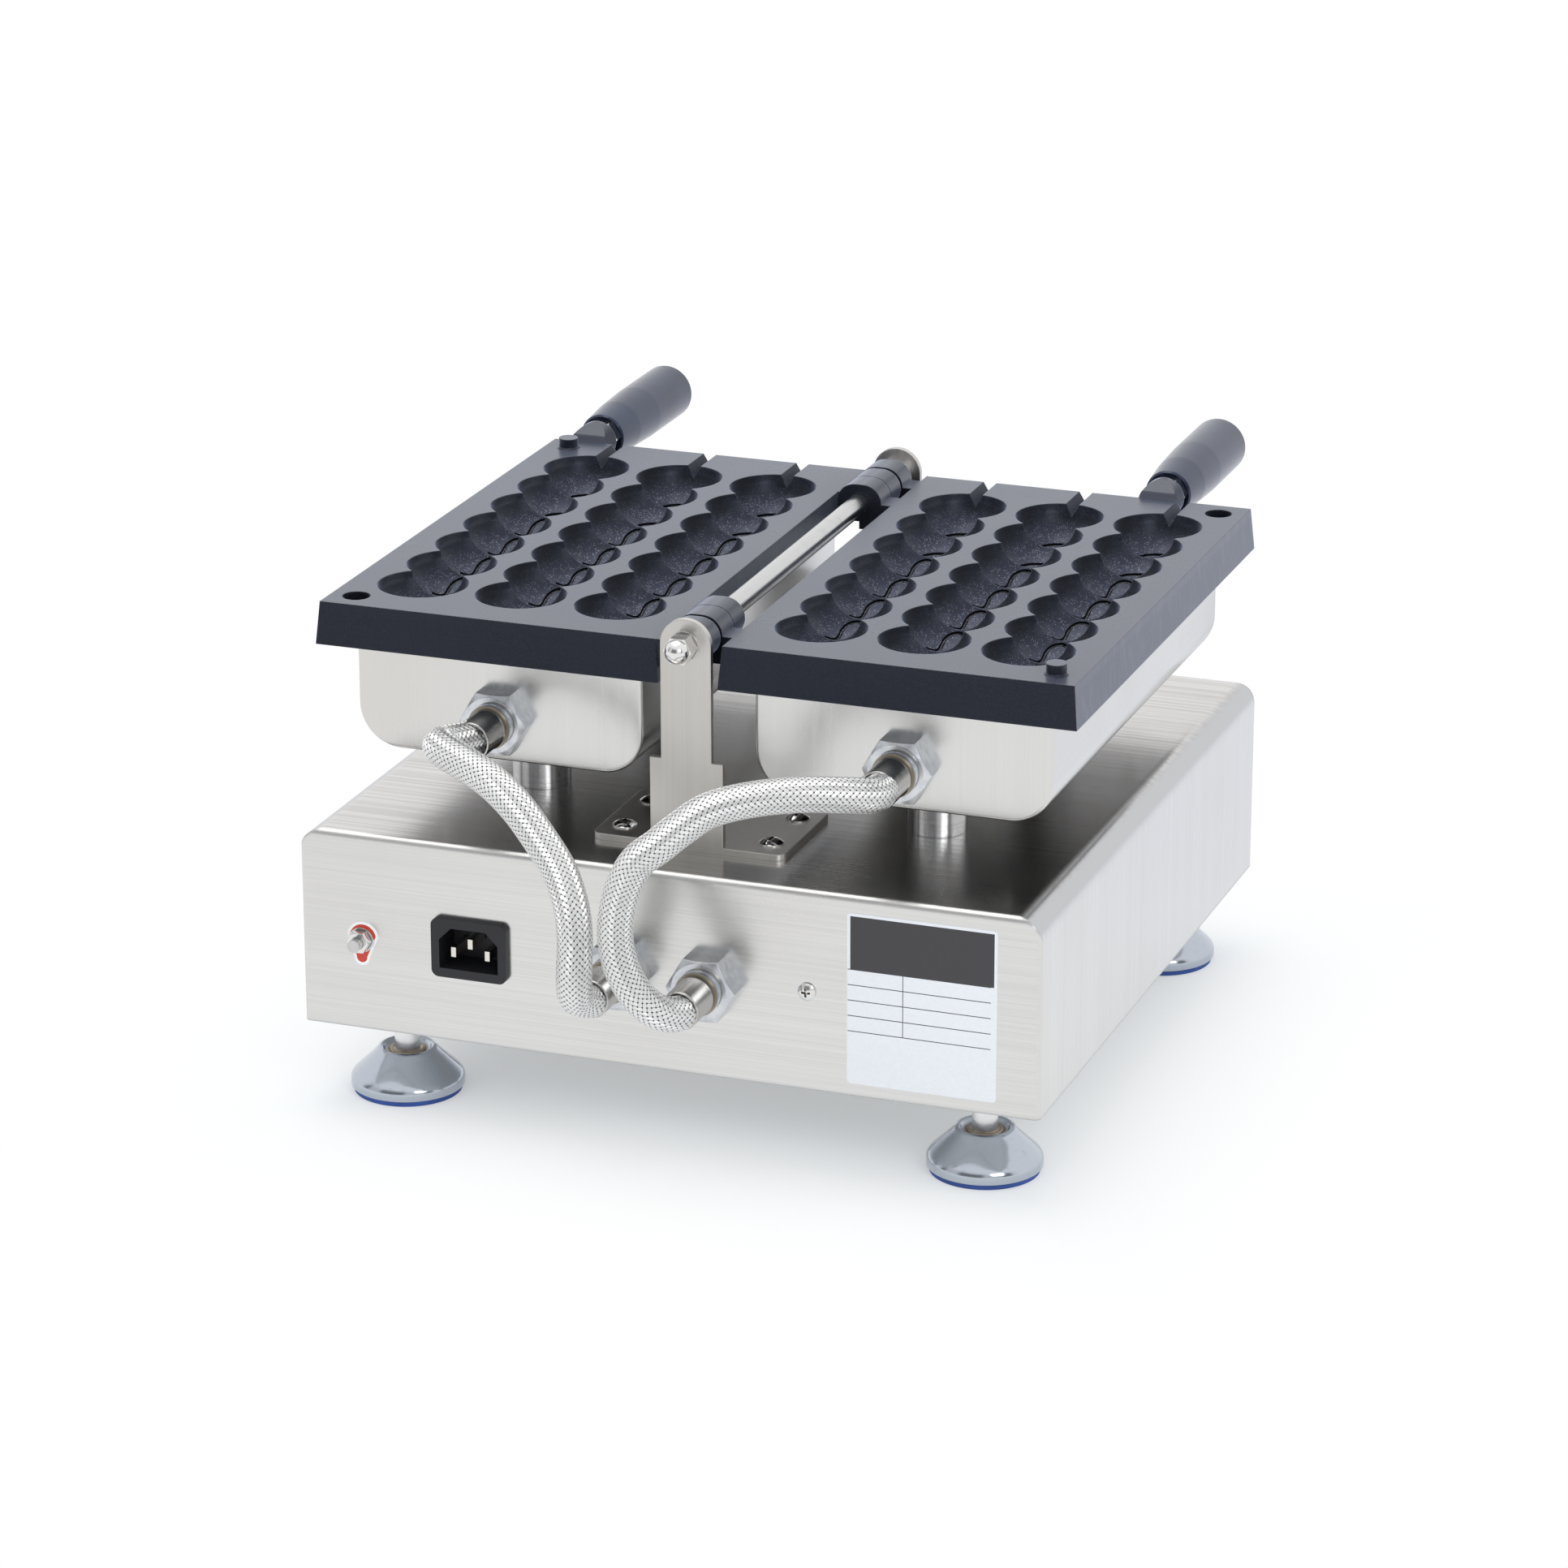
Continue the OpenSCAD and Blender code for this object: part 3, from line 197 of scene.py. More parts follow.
class Reading:
    """The output of a shader node, used like a number: each operator adds its Math node."""

    __add__, __radd__ = maths("ADD"), maths("ADD", turned=True)
    __sub__, __rsub__ = maths("SUBTRACT"), maths("SUBTRACT", turned=True)
    __mul__, __rmul__ = maths("MULTIPLY"), maths("MULTIPLY", turned=True)
    __truediv__, __rtruediv__ = maths("DIVIDE"), maths("DIVIDE", turned=True)
    __pow__, __rpow__ = maths("POWER"), maths("POWER", turned=True)
    __mod__, __rmod__ = maths("FLOORED_MODULO"), maths("FLOORED_MODULO", turned=True)
    __lt__, __gt__ = maths("LESS_THAN"), maths("GREATER_THAN")
    __abs__, larger = maths("ABSOLUTE"), maths("MAXIMUM")
    floor, fract, sine = maths("FLOOR"), maths("FRACT"), maths("SINE")

    def __init__(self, finish, socket):
        self.finish = finish
        self.socket = socket

    def out(self, name):
        return Reading(self.finish, self.socket.node.outputs[name])

    def ramp(self, low, high, to_low=0.0, to_high=1.0):
        """Runs smoothly from to_low at low to to_high at high."""
        return self.finish.node("ShaderNodeMapRange", {"interpolation_type": "SMOOTHSTEP"},
                                {"Value": self, "From Min": low, "From Max": high,
                                 "To Min": to_low, "To Max": to_high})


class Finish:
    """A material in the making."""

    def __init__(self, name):
        self.material = bpy.data.materials.new(name)
        self.material.use_nodes = True
        self.tree = self.material.node_tree
        self.shader = self.tree.nodes["Principled BSDF"]

    def feed(self, socket, value):
        """Links a reading to a socket, or sets a number, vector or colour on it."""
        if isinstance(value, Reading):
            self.tree.links.new(value.socket, socket)
        elif socket.type == "RGBA":
            socket.default_value = (*tuple(value)[:3], 1.0)
        else:
            socket.default_value = value

    def node(self, kind, settings=None, sockets=None):
        """Adds a node, sets its settings, then its sockets' values or links, and returns its output."""
        made = self.tree.nodes.new(kind)
        for key, value in (settings or {}).items():
            setattr(made, key, value)
        for key, value in (sockets or {}).items():
            self.feed(made.inputs[key], value)
        return Reading(self, next(s for s in made.outputs if s.enabled))

    def place(self, kind="Object"):
        return self.node("ShaderNodeTexCoord").out(kind)

    def parts(self, vector):
        split = self.node("ShaderNodeSeparateXYZ", None, {"Vector": vector})
        return split.out("X"), split.out("Y"), split.out("Z")

    def cloud(self, scale, detail=3.0, roughness=0.5, at=(0.0, 0.0, 0.0)):
        """Noise from 0 to 1 with so many features to the metre along each axis."""
        if isinstance(scale, (int, float)):
            scale = (scale, scale, scale)
        spot = self.node("ShaderNodeMapping", None, {"Vector": self.place(), "Location": at, "Scale": scale})
        sockets = {"Vector": spot, "Scale": 1.0, "Detail": detail, "Roughness": roughness}
        return self.node("ShaderNodeTexNoise", None, sockets).out("Fac")

    def cells(self, scale):
        sockets = {"Vector": self.place(), "Scale": scale}
        return self.node("ShaderNodeTexVoronoi", None, sockets).out("Distance")

    def mix(self, factor, first, second):
        """Mixes two colours, each a tuple or a reading."""
        return self.node("ShaderNodeMix", {"data_type": "RGBA"}, {0: factor, 6: first, 7: second})

    def soft_edges(self, radius):
        return self.node("ShaderNodeBevel", {"samples": 4}, {"Radius": radius})

    def edge_mask(self, soft):
        """1 on the edges that soft rounds, 0 on the flats."""
        plain = self.node("ShaderNodeNewGeometry").out("Normal")
        same = self.node("ShaderNodeVectorMath", {"operation": "DOT_PRODUCT"},
                         {0: soft, 1: plain}).out("Value")
        return (1.0 - same).ramp(0.01, 0.16)

    def bump(self, height, distance, strength=1.0, normal=None):
        sockets = {"Height": height, "Distance": distance, "Strength": strength}
        if normal is not None:
            sockets["Normal"] = normal
        return self.node("ShaderNodeBump", None, sockets)

    def done(self, **sockets):
        """Sets the shader's sockets. An underscore in a name stands for a space."""
        for key, value in sockets.items():
            self.feed(self.shader.inputs[key.replace("_", " ")], value)
        return self.material


def shade(colour, factor):
    """A colour as it is when lighter or darker by a factor."""
    return tuple(min(1.0, channel * factor) for channel in tuple(colour)[:3])


# Finishes

FINISHES = {}


def finish_once(make):
    """Gives a maker a material of its own name, once, so that like pieces share it."""
    def kept():
        if make.__name__ not in FINISHES:
            FINISHES[make.__name__] = make(Finish(make.__name__))
        return FINISHES[make.__name__]
    return kept


def grinding_lines(f, along):
    """Fine, middle and broad lines of a belt grinder along one axis."""
    def scale(fine, run):
        return {"x": (run, fine, fine), "y": (fine, run, fine), "z": (fine, fine, run)}[along]
    fine = f.cloud(scale(2100.0, 5.0), 2.0, 0.6)
    middle = f.cloud(scale(520.0, 3.0), 3.0, 0.6, (3.1, 1.7, 0.4))
    broad = f.cloud(scale(80.0, 1.2), 2.0, 0.5, (0.6, 5.2, 2.3))
    return fine, middle, broad


def brushed(f, colour, roughness, along, ends=None, edge=None, relief=0.000016, tone=0.07, warm=0.0,
            underside_shade=None, fold_reflections=False):
    """Belt ground sheet. ends is an axis and the lines' direction on faces that look along it.

    The folds beside the base's top can get a painted darker reflection, and that top darker streaks of
    painted reflection.
    """
    fine, middle, broad = grinding_lines(f, along)
    facing = dict(zip("xyz", f.parts(f.place("Normal"))))
    calm = 1.0
    if ends:
        side = abs(facing[ends[0]]).ramp(0.55, 0.85)
        other = grinding_lines(f, ends[1])
        fine, middle, broad = (a * (1.0 - side) + b * side for a, b in zip((fine, middle, broad), other))
        calm = 1.0 - side * 0.65
    soft = f.soft_edges(edge or sizes().sheet_edge)
    wear = f.edge_mask(soft)
    smudge = f.cloud(11.0, 4.0, 0.55, (2.0, 0.5, 1.5)).ramp(0.45, 0.75)
    lines = fine * 0.45 + middle * 0.35 + broad * 0.2
    ground = f.mix(lines.ramp(0.3, 0.7), shade(colour, 1.0 - tone), shade(colour, 1.0 + tone * 0.6))
    ground = f.mix(smudge * (0.08 + warm), ground, shade((0.80, 0.72, 0.55), 0.8))
    # Painted shade: the soft edges are darkened, standing in for a darker reflection along the folds and
    # edges.
    ground = f.mix(wear * 0.6, ground, shade(colour, 0.62))
    # Painted shade: faces that look down are darkened.
    if underside_shade:
        ground = f.mix(facing["z"].ramp(-0.85, -0.35, 1.0, 0.0), ground, underside_shade)
    if fold_reflections:
        # Painted reflection: a grey-blue band on the rounded folds beside the top, and darker streaks on the
        # top itself.
        aside = abs(facing["x"])
        bend = aside.ramp(0.12, 0.5) * aside.ramp(0.88, 0.995, 1.0, 0.0)
        bend = bend * facing["z"].ramp(0.04, 0.2)
        ground = f.mix(bend * 0.8, ground, shade((0.70, 0.71, 0.74), 0.72))
        streaks = middle.ramp(0.40, 0.62) * facing["z"].ramp(0.8, 0.95)
        ground = f.mix(streaks * 0.45, ground, shade((0.78, 0.72, 0.69), 0.6))
    rough = roughness + (middle - 0.5) * 0.12 + smudge * 0.06 + wear * 0.05
    height = (fine * 0.6 + middle * 0.4) * calm
    return f.done(Base_Color=ground, Metallic=1.0, Roughness=rough, Normal=f.bump(height, relief, 0.6, soft))


@finish_once
def stainless_base(f):
    return brushed(f, colours().stainless, 0.22, "x", ("x", "z"), edge=sizes().base_fold,
                   fold_reflections=True)


@finish_once
def stainless_cover(f):
    """Pressed cover, warmer in its smudges, with painted shade on the faces that look down."""
    return brushed(f, colours().stainless, 0.25, "y", ("y", "z"), relief=0.000006, tone=0.025,
                   warm=0.08, underside_shade=(0.16, 0.155, 0.15))


@finish_once
def satin_bracket(f):
    return brushed(f, colours().bracket, 0.34, "z", relief=0.00001, tone=0.05, warm=0.05)


def turned(f, colour, roughness, axis, lines=2600.0, relief=0.000012, tone=0.08):
    """Metal with the fine marks of a lathe around one axis."""
    scale = {"x": (lines, 25.0, 25.0), "y": (25.0, lines, 25.0), "z": (25.0, 25.0, lines)}[axis]
    marks = f.cloud(scale, 2.0, 0.6)
    blotch = f.cloud(90.0, 3.0, 0.6)
    soft = f.soft_edges(0.00025)
    ground = f.mix(marks.ramp(0.3, 0.7), shade(colour, 1.0 - tone), colour)
    ground = f.mix(blotch.ramp(0.5, 0.8) * 0.35, ground, shade(colour, 0.72))
    return f.done(Base_Color=ground, Metallic=1.0, Roughness=roughness + (blotch - 0.5) * 0.14,
                  Normal=f.bump(marks, relief, 0.6, soft))


@finish_once
def bright_steel(f):
    """Bright screws and nuts, with painted shade in their recesses."""
    tone = colours().bright_steel
    blotch = f.cloud(160.0, 3.0, 0.6)
    grain = f.cloud(1500.0, 2.0, 0.6)
    open_to_air = f.node("ShaderNodeAmbientOcclusion", {"samples": 8, "only_local": True},
                         {"Distance": 0.0016}).out("AO")
    soft = f.soft_edges(0.00025)
    ground = f.mix(blotch.ramp(0.45, 0.75) * 0.3, tone, shade(tone, 0.66))
    # Painted shade: darkened where ambient occlusion finds a recess.
    ground = f.mix(open_to_air.ramp(0.35, 0.85, 1.0, 0.0) * 0.9, ground, (0.045, 0.035, 0.028))
    return f.done(Base_Color=ground, Metallic=1.0, Roughness=0.13 + (blotch - 0.5) * 0.12,
                  Normal=f.bump(grain, 0.000006, 0.5, soft))


@finish_once
def ground_rod(f):
    return turned(f, colours().rod, 0.24, "y")


@finish_once
def turned_aluminium(f):
    tone = colours().aluminium
    marks = f.cloud((30.0, 30.0, 2300.0), 2.0, 0.6)
    blotch = f.cloud(120.0, 3.0, 0.6)
    _, _, z = f.parts(f.place())
    line = 1.0 - abs(z - POST_LINE_Z).ramp(0.0003, 0.0006)
    soft = f.soft_edges(0.0005)
    ground = f.mix(marks.ramp(0.3, 0.7), shade(tone, 0.86), tone)
    ground = f.mix(line * 0.6, ground, shade(tone, 0.3))
    return f.done(Base_Color=ground, Metallic=1.0, Roughness=0.17 + (blotch - 0.5) * 0.1,
                  Normal=f.bump(marks * 0.12 - line, 0.00006, 0.6, soft))


@finish_once
def bell_chrome(f):
    """Chromed bell with a brownish ring in its dish and a brighter stem."""
    waves = f.cloud(55.0, 2.0, 0.5)
    pits = f.cells(900.0).ramp(0.0, 0.22)
    dust = f.cloud(420.0, 3.0, 0.6).ramp(0.55, 0.8)
    soft = f.soft_edges(0.0004)
    x, y, z = f.parts(f.place())
    from_stem = ((abs(x) - FOOT_X) ** 2 + (abs(y - BASE_Y) - FOOT_Y) ** 2) ** 0.5
    ring = (from_stem > STEM_RADIUS) * (from_stem < DISH_RADIUS) * (z > DISH_Z)
    stem = (from_stem < STEM_RADIUS) * (z > DISH_Z)
    ground = f.mix(dust * 0.35, colours().chrome, shade(colours().chrome, 0.72))
    ground = f.mix(ring * 0.8, ground, (0.30, 0.22, 0.12))
    ground = f.mix(stem, ground, (0.82, 0.82, 0.82))
    return f.done(Base_Color=ground, Metallic=1.0, Roughness=0.13 + dust * 0.12 + stem * 0.15,
                  Normal=f.bump(waves * 1.2 + pits * 0.05, 0.00012, 0.5, soft))


@finish_once
def zinc_plate(f):
    tone = colours().zinc
    cloudy = f.cloud(160.0, 3.0, 0.6)
    grain = f.cloud(1900.0, 2.0, 0.6)
    soft = f.soft_edges(0.0003)
    wear = f.edge_mask(soft)
    ground = f.mix(cloudy.ramp(0.35, 0.7), shade(tone, 0.82), (tone[0] * 1.06, tone[1] * 1.04, tone[2]))
    ground = f.mix(wear * 0.45, ground, (0.80, 0.80, 0.80))
    return f.done(Base_Color=ground, Metallic=1.0, Roughness=0.2 + (cloudy - 0.5) * 0.14,
                  Normal=f.bump(grain, 0.00001, 0.5, soft))


@finish_once
def nickel(f):
    return turned(f, (0.80, 0.78, 0.72), 0.2, "y", 1500.0, 0.000004, 0.05)


def bowl_mask(f, nz):
    """1 inside the balls and grooves, 0 on the plate's face and its upright sides."""
    _, _, z = f.parts(f.place())
    return abs(nz).ramp(0.05, 0.2) * (z - HOLLOW_BELOW).ramp(-0.001, 0.001, 1.0, 0.0)


@finish_once
def plate_coating(f):
    """Dark non-stick coating over a casting: speckled, a little rough, rubbed lighter along the edges.

    In the balls and grooves, painted shade darkens the walls and painted light and painted glints lift the
    grainy bed;
    upright faces and the walls of the slots get painted shade, darkest in the slots, and the short step up to
    the handle boss painted light.
    """
    tone = colours().coating
    speckle = f.cloud(1150.0, 2.0, 0.65)
    peel = f.cloud(520.0, 3.0, 0.55)
    drift = f.cloud(26.0, 4.0, 0.55)
    pores = (1.0 - f.cells(430.0).ramp(0.05, 0.14)) * f.cloud(75.0, 2.0, 0.5).ramp(0.5, 0.62)
    x, y, z = f.parts(f.place())
    nx, ny, nz = f.parts(f.place("Normal"))
    sideways = abs(nx).ramp(0.6, 0.9)
    slot = sideways * (abs(x) > HOLLOWS_FROM) * (abs(x) < HOLLOWS_TO)
    outer = sideways - slot
    boss_step = (y < BOSS_Y) * (z > BOSS_Z) * (ny > 0.5)
    upright = abs(nz).ramp(0.05, 0.2, 1.0, 0.0)
    bowl = bowl_mask(f, nz)
    open_face = outer.larger(abs(nz).ramp(0.7, 0.9)) * (1.0 - bowl)
    painted_glints = f.cells(1500.0).ramp(0.2, 0.42, 1.0, 0.0) * f.cloud(520.0, 2.0, 0.5).ramp(0.40, 0.58)
    soft = f.soft_edges(sizes().plate_edge)
    wear = f.edge_mask(soft)
    ground = f.mix(speckle.ramp(0.42, 0.68), shade(tone, 0.62), shade(tone, 1.5))
    ground = f.mix(drift.ramp(0.35, 0.7) * 0.4, ground, shade(tone, 1.6))
    # Painted shade: upright faces darker.
    ground = f.mix(upright * 0.6, ground, shade(tone, 0.4))
    # Painted shade: the walls of the slots between rows nearly black.
    ground = f.mix(slot * 0.9, ground, shade(tone, 0.1))
    # Painted light: the short step up to the handle boss lighter, like the top face.
    ground = f.mix(boss_step, ground, (0.13, 0.135, 0.165))
    # Painted light and shade in the balls and grooves: walls darker, the bed that faces up lighter.
    bed = bowl * nz.ramp(0.35, 0.95)
    ground = f.mix(bowl * 0.7, ground, f.mix(bed, shade(tone, 0.25), shade(tone, 3.2)))
    # Painted glints, mostly on the beds that face up and none on upright faces; their spots also raise the
    # bump a little.
    ground = f.mix(painted_glints * (0.06 + bed * 0.9) * (1.0 - upright), ground, (0.32, 0.335, 0.40))
    ground = f.mix(pores * 0.8, ground, shade(tone, 0.25))
    ground = f.mix(wear * speckle.ramp(0.3, 0.62) * 0.5, ground, (0.12, 0.125, 0.15))
    rough = 0.30 + (drift - 0.5) * 0.12 + (speckle - 0.5) * 0.12
    rough = rough + bowl * 0.08 + upright * 0.1 + slot * 0.3
    chips = f.cloud((260.0, 260.0, 75.0), 4.0, 0.65).ramp(0.48, 0.66) * upright * outer
    ground = f.mix(chips * 0.4, ground, (0.07, 0.075, 0.095))
    height = peel * 0.3 + speckle * (0.15 + bowl * 0.9) - pores * 0.9 + painted_glints * 0.6 * bowl + chips * 0.35
    return f.done(Base_Color=ground, Metallic=0.0, Roughness=rough, IOR=1.43,
                  Specular_Tint=(0.72, 0.80, 1.0), Coat_Weight=open_face * 0.5, Coat_Roughness=0.32,
                  Sheen_Weight=0.85, Sheen_Roughness=0.3, Sheen_Tint=(0.66, 0.75, 1.0),
                  Normal=f.bump(height, 0.00013, 0.6, soft))


@finish_once
def milled_line(f):
    """The groove's own finish: painted shade on the flanks and painted light on the bed, told apart by the
    depth below the ball.
    """
    s = sizes()
    grain = f.cloud(1700.0, 2.0, 0.6)
    x, y, z = f.parts(f.place())
    across = (abs(x) - ROW_X[0] + ROW_PITCH / 2) % ROW_PITCH - ROW_PITCH / 2
    along = (y - FIRST_BALL_Y + s.ball_pitch * 0.52) % s.ball_pitch - s.ball_pitch * 0.52
    deep = (across ** 2 + along ** 2 + (z - BALL_Z) ** 2) ** 0.5 - s.ball_radius
    # Painted shade on the flanks, painted light on the bed.
    bed = deep.ramp(s.smile_depth * 0.86, s.smile_depth * 0.95)
    ground = f.mix(bed * grain.ramp(0.3, 0.6), (0.001, 0.001, 0.0015), (0.16, 0.17, 0.20))
    return f.done(Base_Color=ground, Roughness=0.5 + (grain - 0.5) * 0.2, Specular_IOR_Level=0.1,
                  Normal=f.bump(grain, 0.00003, 0.5))


def moulded(f, colour, roughness, grain_size, relief, coat=0.0, edge=0.0004, dust=0.0, uneven=0.1,
            tint=(1.0, 1.0, 1.0), painted_end_shade=0.0):
    """Moulded plastic with a spark eroded or polished skin."""
    grain = f.cloud(grain_size, 3.0, 0.6)
    drift = f.cloud(60.0, 3.0, 0.5)
    soft = f.soft_edges(edge)
    wear = f.edge_mask(soft)
    ground = f.mix(drift.ramp(0.3, 0.75), shade(colour, 0.82), shade(colour, 1.16))
    ground = f.mix(wear * 0.3, ground, shade(colour, 2.2))
    # Painted shade on the ends that look along Y.
    if painted_end_shade:
        _, ny, _ = f.parts(f.place("Normal"))
        ground = f.mix(abs(ny).ramp(0.6, 0.9) * painted_end_shade, ground, shade(colour, 0.15))
    if dust:
        ground = f.mix(f.cells(700.0).ramp(0.02, 0.10, 1.0, 0.0) * dust, ground, (0.5, 0.5, 0.5))
    return f.done(Base_Color=ground, Roughness=roughness + (drift - 0.5) * uneven + wear * 0.05,
                  Specular_Tint=tint, Coat_Weight=coat, Coat_Roughness=0.08,
                  Normal=f.bump(grain, relief, 0.5, soft))


@finish_once
def inlet_plastic(f):
    return moulded(f, colours().inlet, 0.46, 1300.0, 0.00003)


@finish_once
def grip_phenolic(f):
    """Glossy grip, with painted shade on its ends."""
    return moulded(f, colours().grip, 0.2, 240.0, 0.000008, coat=0.25, edge=0.0006,
                   dust=0.04, uneven=0.03, tint=(0.60, 0.71, 1.0), painted_end_shade=0.85)


@finish_once
def knob_plastic(f):
    return moulded(f, colours().knob, 0.24, 500.0, 0.000008, 0.3)


@finish_once
def rocker_plastic(f):
    return moulded(f, colours().rocker, 0.26, 600.0, 0.000008, 0.3)


@finish_once
def body_plastic(f):
    return moulded(f, (0.045, 0.045, 0.045), 0.5, 1200.0, 0.00003)


@finish_once
def terminal_plastic(f):
    return moulded(f, (0.72, 0.69, 0.58), 0.5, 1200.0, 0.00003)


@finish_once
def pad_rubber(f):
    return moulded(f, colours().pad, 0.62, 900.0, 0.00006, dust=0.3)


@finish_once
def lamp_lens(f):
    x, _, z = f.parts(f.place())
    once_per_mm = 6283.0
    ribs = (x * once_per_mm).sine() * (z * once_per_mm).sine()
    ground = f.mix(ribs.ramp(-1.0, 1.0), shade(colours().lamp, 0.7), colours().lamp)
    return f.done(Base_Color=ground, Roughness=0.16 + (ribs * 0.03), Transmission_Weight=0.35, IOR=1.49,
                  Normal=f.bump(ribs, 0.0001, 0.4))


@finish_once
def heater_sheath(f):
    heat = f.cloud(45.0, 4.0, 0.6)
    grain = f.cloud(1300.0, 3.0, 0.6)
    ground = f.mix(heat.ramp(0.3, 0.7), (0.10, 0.085, 0.075), (0.30, 0.26, 0.22))
    return f.done(Base_Color=ground, Metallic=0.7, Roughness=0.48 + (heat - 0.5) * 0.2,
                  Normal=f.bump(grain, 0.00003, 0.6))


@finish_once
def mineral_wool(f):
    fibre = f.cloud((260.0, 1500.0, 1500.0), 4.0, 0.7) * 0.5 + f.cloud((1500.0, 260.0, 900.0), 4.0, 0.7) * 0.5
    clump = f.cloud(140.0, 4.0, 0.6)
    ground = f.mix(fibre.ramp(0.35, 0.65), (0.50, 0.45, 0.30), (0.82, 0.78, 0.62))
    return f.done(Base_Color=ground, Roughness=0.95 - fibre * 0.1, Sheen_Weight=0.3,
                  Normal=f.bump(fibre + clump * 1.5, 0.0006, 0.8))


@finish_once
def wire_braid(f):
    """Round wires in strands, two over and two under, eighteen strands each way round the hose."""
    u, v, _ = f.parts(f.place("UV"))
    strands, lay = 18.0, 0.0023
    turns = u * strands
    steps = v / lay
    one, two = turns + steps, turns - steps
    upper = ((one.floor() + two.floor()) % 4.0) < 1.5
    def strand(way):
        across = way.fract() * 2.0 - 1.0
        round_top = 1.0 - across * across
        wires = abs((way * (math.pi * 6.0)).sine())
        return round_top * 0.75 + wires * 0.25, abs(across)
    high_one, edge_one = strand(one)
    high_two, edge_two = strand(two)
    height = high_one * upper + high_two * (1.0 - upper)
    edge = edge_one * upper + edge_two * (1.0 - upper)
    crossing = edge_one.larger(edge_two)
    tone = colours().braid
    drift = f.cloud(70.0, 3.0, 0.6)
    # Painted shade along the sides of the strands and, next, in the holes where they cross.
    ground = f.mix(edge.ramp(0.80, 1.0), shade(tone, 1.08), shade(tone, 0.36))
    ground = f.mix((edge_one * edge_two).ramp(0.46, 0.66), ground, (0.012, 0.012, 0.015))
    ground = f.mix(drift.ramp(0.5, 0.8) * 0.25, ground, shade(tone, 0.7))
    return f.done(Base_Color=ground, Metallic=1.0, Roughness=0.30 + crossing * 0.08,
                  Normal=f.bump(height, 0.00045, 1.0))


@finish_once
def ferrule_steel(f):
    return turned(f, (0.58, 0.575, 0.56), 0.22, "y", 1500.0, 0.000006, 0.08)


@finish_once
def crimp_brass(f):
    return turned(f, (0.36, 0.32, 0.26), 0.34, "y", 1500.0, 0.00001, 0.1)


@finish_once
def label_print(f):
    """White label with a dark band above and a plain ruled table, without a word on it."""
    s = sizes()
    x, _, z = f.parts(f.place())
    left, top = LABEL_LEFT * MM, LABEL_TOP * MM
    right, table = left + s.label_width, top - s.label_band
    def within(value, low, high):
        return (value > low) * (value < high)
    band = within(x, left + 1.2 * MM, right - 1.2 * MM) * within(z, table, top - 1.2 * MM)
    rules = None
    for n in range(5):
        height = table - 6.2 * MM * n
        rule = within(z, height - 0.17 * MM, height + 0.17 * MM)
        rules = rule if rules is None else rules.larger(rule)
    rules = rules * within(x, left + 2.4 * MM, right - 0.2 * MM)
    column = within(x, right - 22.2 * MM, right - 21.9 * MM) * within(z, table - 24.8 * MM, table)
    print_mask = band.larger(rules.larger(column))
    fibre = f.cloud(900.0, 3.0, 0.6)
    scuff = f.cloud((240.0, 240.0, 900.0), 4.0, 0.65).ramp(0.62, 0.8)
    paper = f.mix(fibre.ramp(0.3, 0.7), shade(colours().paper, 0.965), colours().paper)
    ink = f.mix(scuff * 0.3, colours().ink, shade(colours().ink, 3.0))
    ground = f.mix(print_mask, paper, ink)
    return f.done(Base_Color=ground, Roughness=0.34 + scuff * 0.1 + print_mask * 0.04,
                  Normal=f.bump(fibre + print_mask * 0.4, 0.00001, 0.4))


def printed(f, dark, light, roughness):
    """Plain print on a sticker."""
    fibre = f.cloud(900.0, 3.0, 0.6)
    ground = f.mix(fibre.ramp(0.3, 0.7), dark, light)
    return f.done(Base_Color=ground, Roughness=roughness + (fibre - 0.5) * 0.1,
                  Normal=f.bump(fibre, 0.00001, 0.3))


@finish_once
def tag_border(f):
    return printed(f, (0.95, 0.95, 0.95), (0.98, 0.98, 0.98), 0.35)


@finish_once
def tag_field(f):
    return printed(f, shade(colours().tag, 0.9), colours().tag, 0.32)


@finish_once
def dial_ink(f):
    wear = f.cloud(1200.0, 3.0, 0.6)
    ground = f.mix(wear.ramp(0.55, 0.8) * 0.4, colours().ink, shade(colours().ink, 4.0))
    return f.done(Base_Color=ground, Roughness=0.4 + (wear - 0.5) * 0.15, Normal=f.bump(wear, 0.000008, 0.4))


# Shapes


def dress(finish, *names):
    """Gives CAD nodes their finish."""
    for name in names:
        for slot in NODES[name].material_slots:
            slot.material = finish


def pair(name):
    """Names of the left and right hand nodes of one kind."""
    return [f"{name}_{side}" for side, _ in SIDES]


def object_of(name, bm, *finishes):
    """Turns a bmesh into an object at the origin with its finishes."""
    mesh = bpy.data.meshes.new(name)
    bm.to_mesh(mesh)
    bm.free()
    for finish in finishes:
        mesh.materials.append(finish)
    made = bpy.data.objects.new(name, mesh)
    bpy.context.scene.collection.objects.link(made)
    return made


def piece(name, bm, body, slot, *finishes, smooth=30.0):
    """Makes a bmesh a finished piece that rides on a body."""
    made = object_of(name, bm, *finishes)
    shade_smooth(made.data, smooth)
    if body:
        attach(made, body)
    return made


def shade_smooth(mesh, angle):
    """Smooth faces with edges sharper than angle, in degrees, kept sharp."""
    mesh.polygons.foreach_set("use_smooth", [True] * len(mesh.polygons))
    mesh.set_sharp_from_angle(angle=math.radians(angle))


def frames_along(points, first_side):
    """Places that follow a line without twist, each with Z along the line."""
    side = Vector(first_side)
    places = []
    for i, point in enumerate(points):
        ahead = points[min(i + 1, len(points) - 1)] - points[max(i - 1, 0)]
        ahead.normalize()
        side = (side - ahead * side.dot(ahead)).normalized()
        other = ahead.cross(side)
        turn = Matrix((side, other, ahead)).transposed().to_4x4()
        places.append(Matrix.Translation(point) @ turn)
    return places


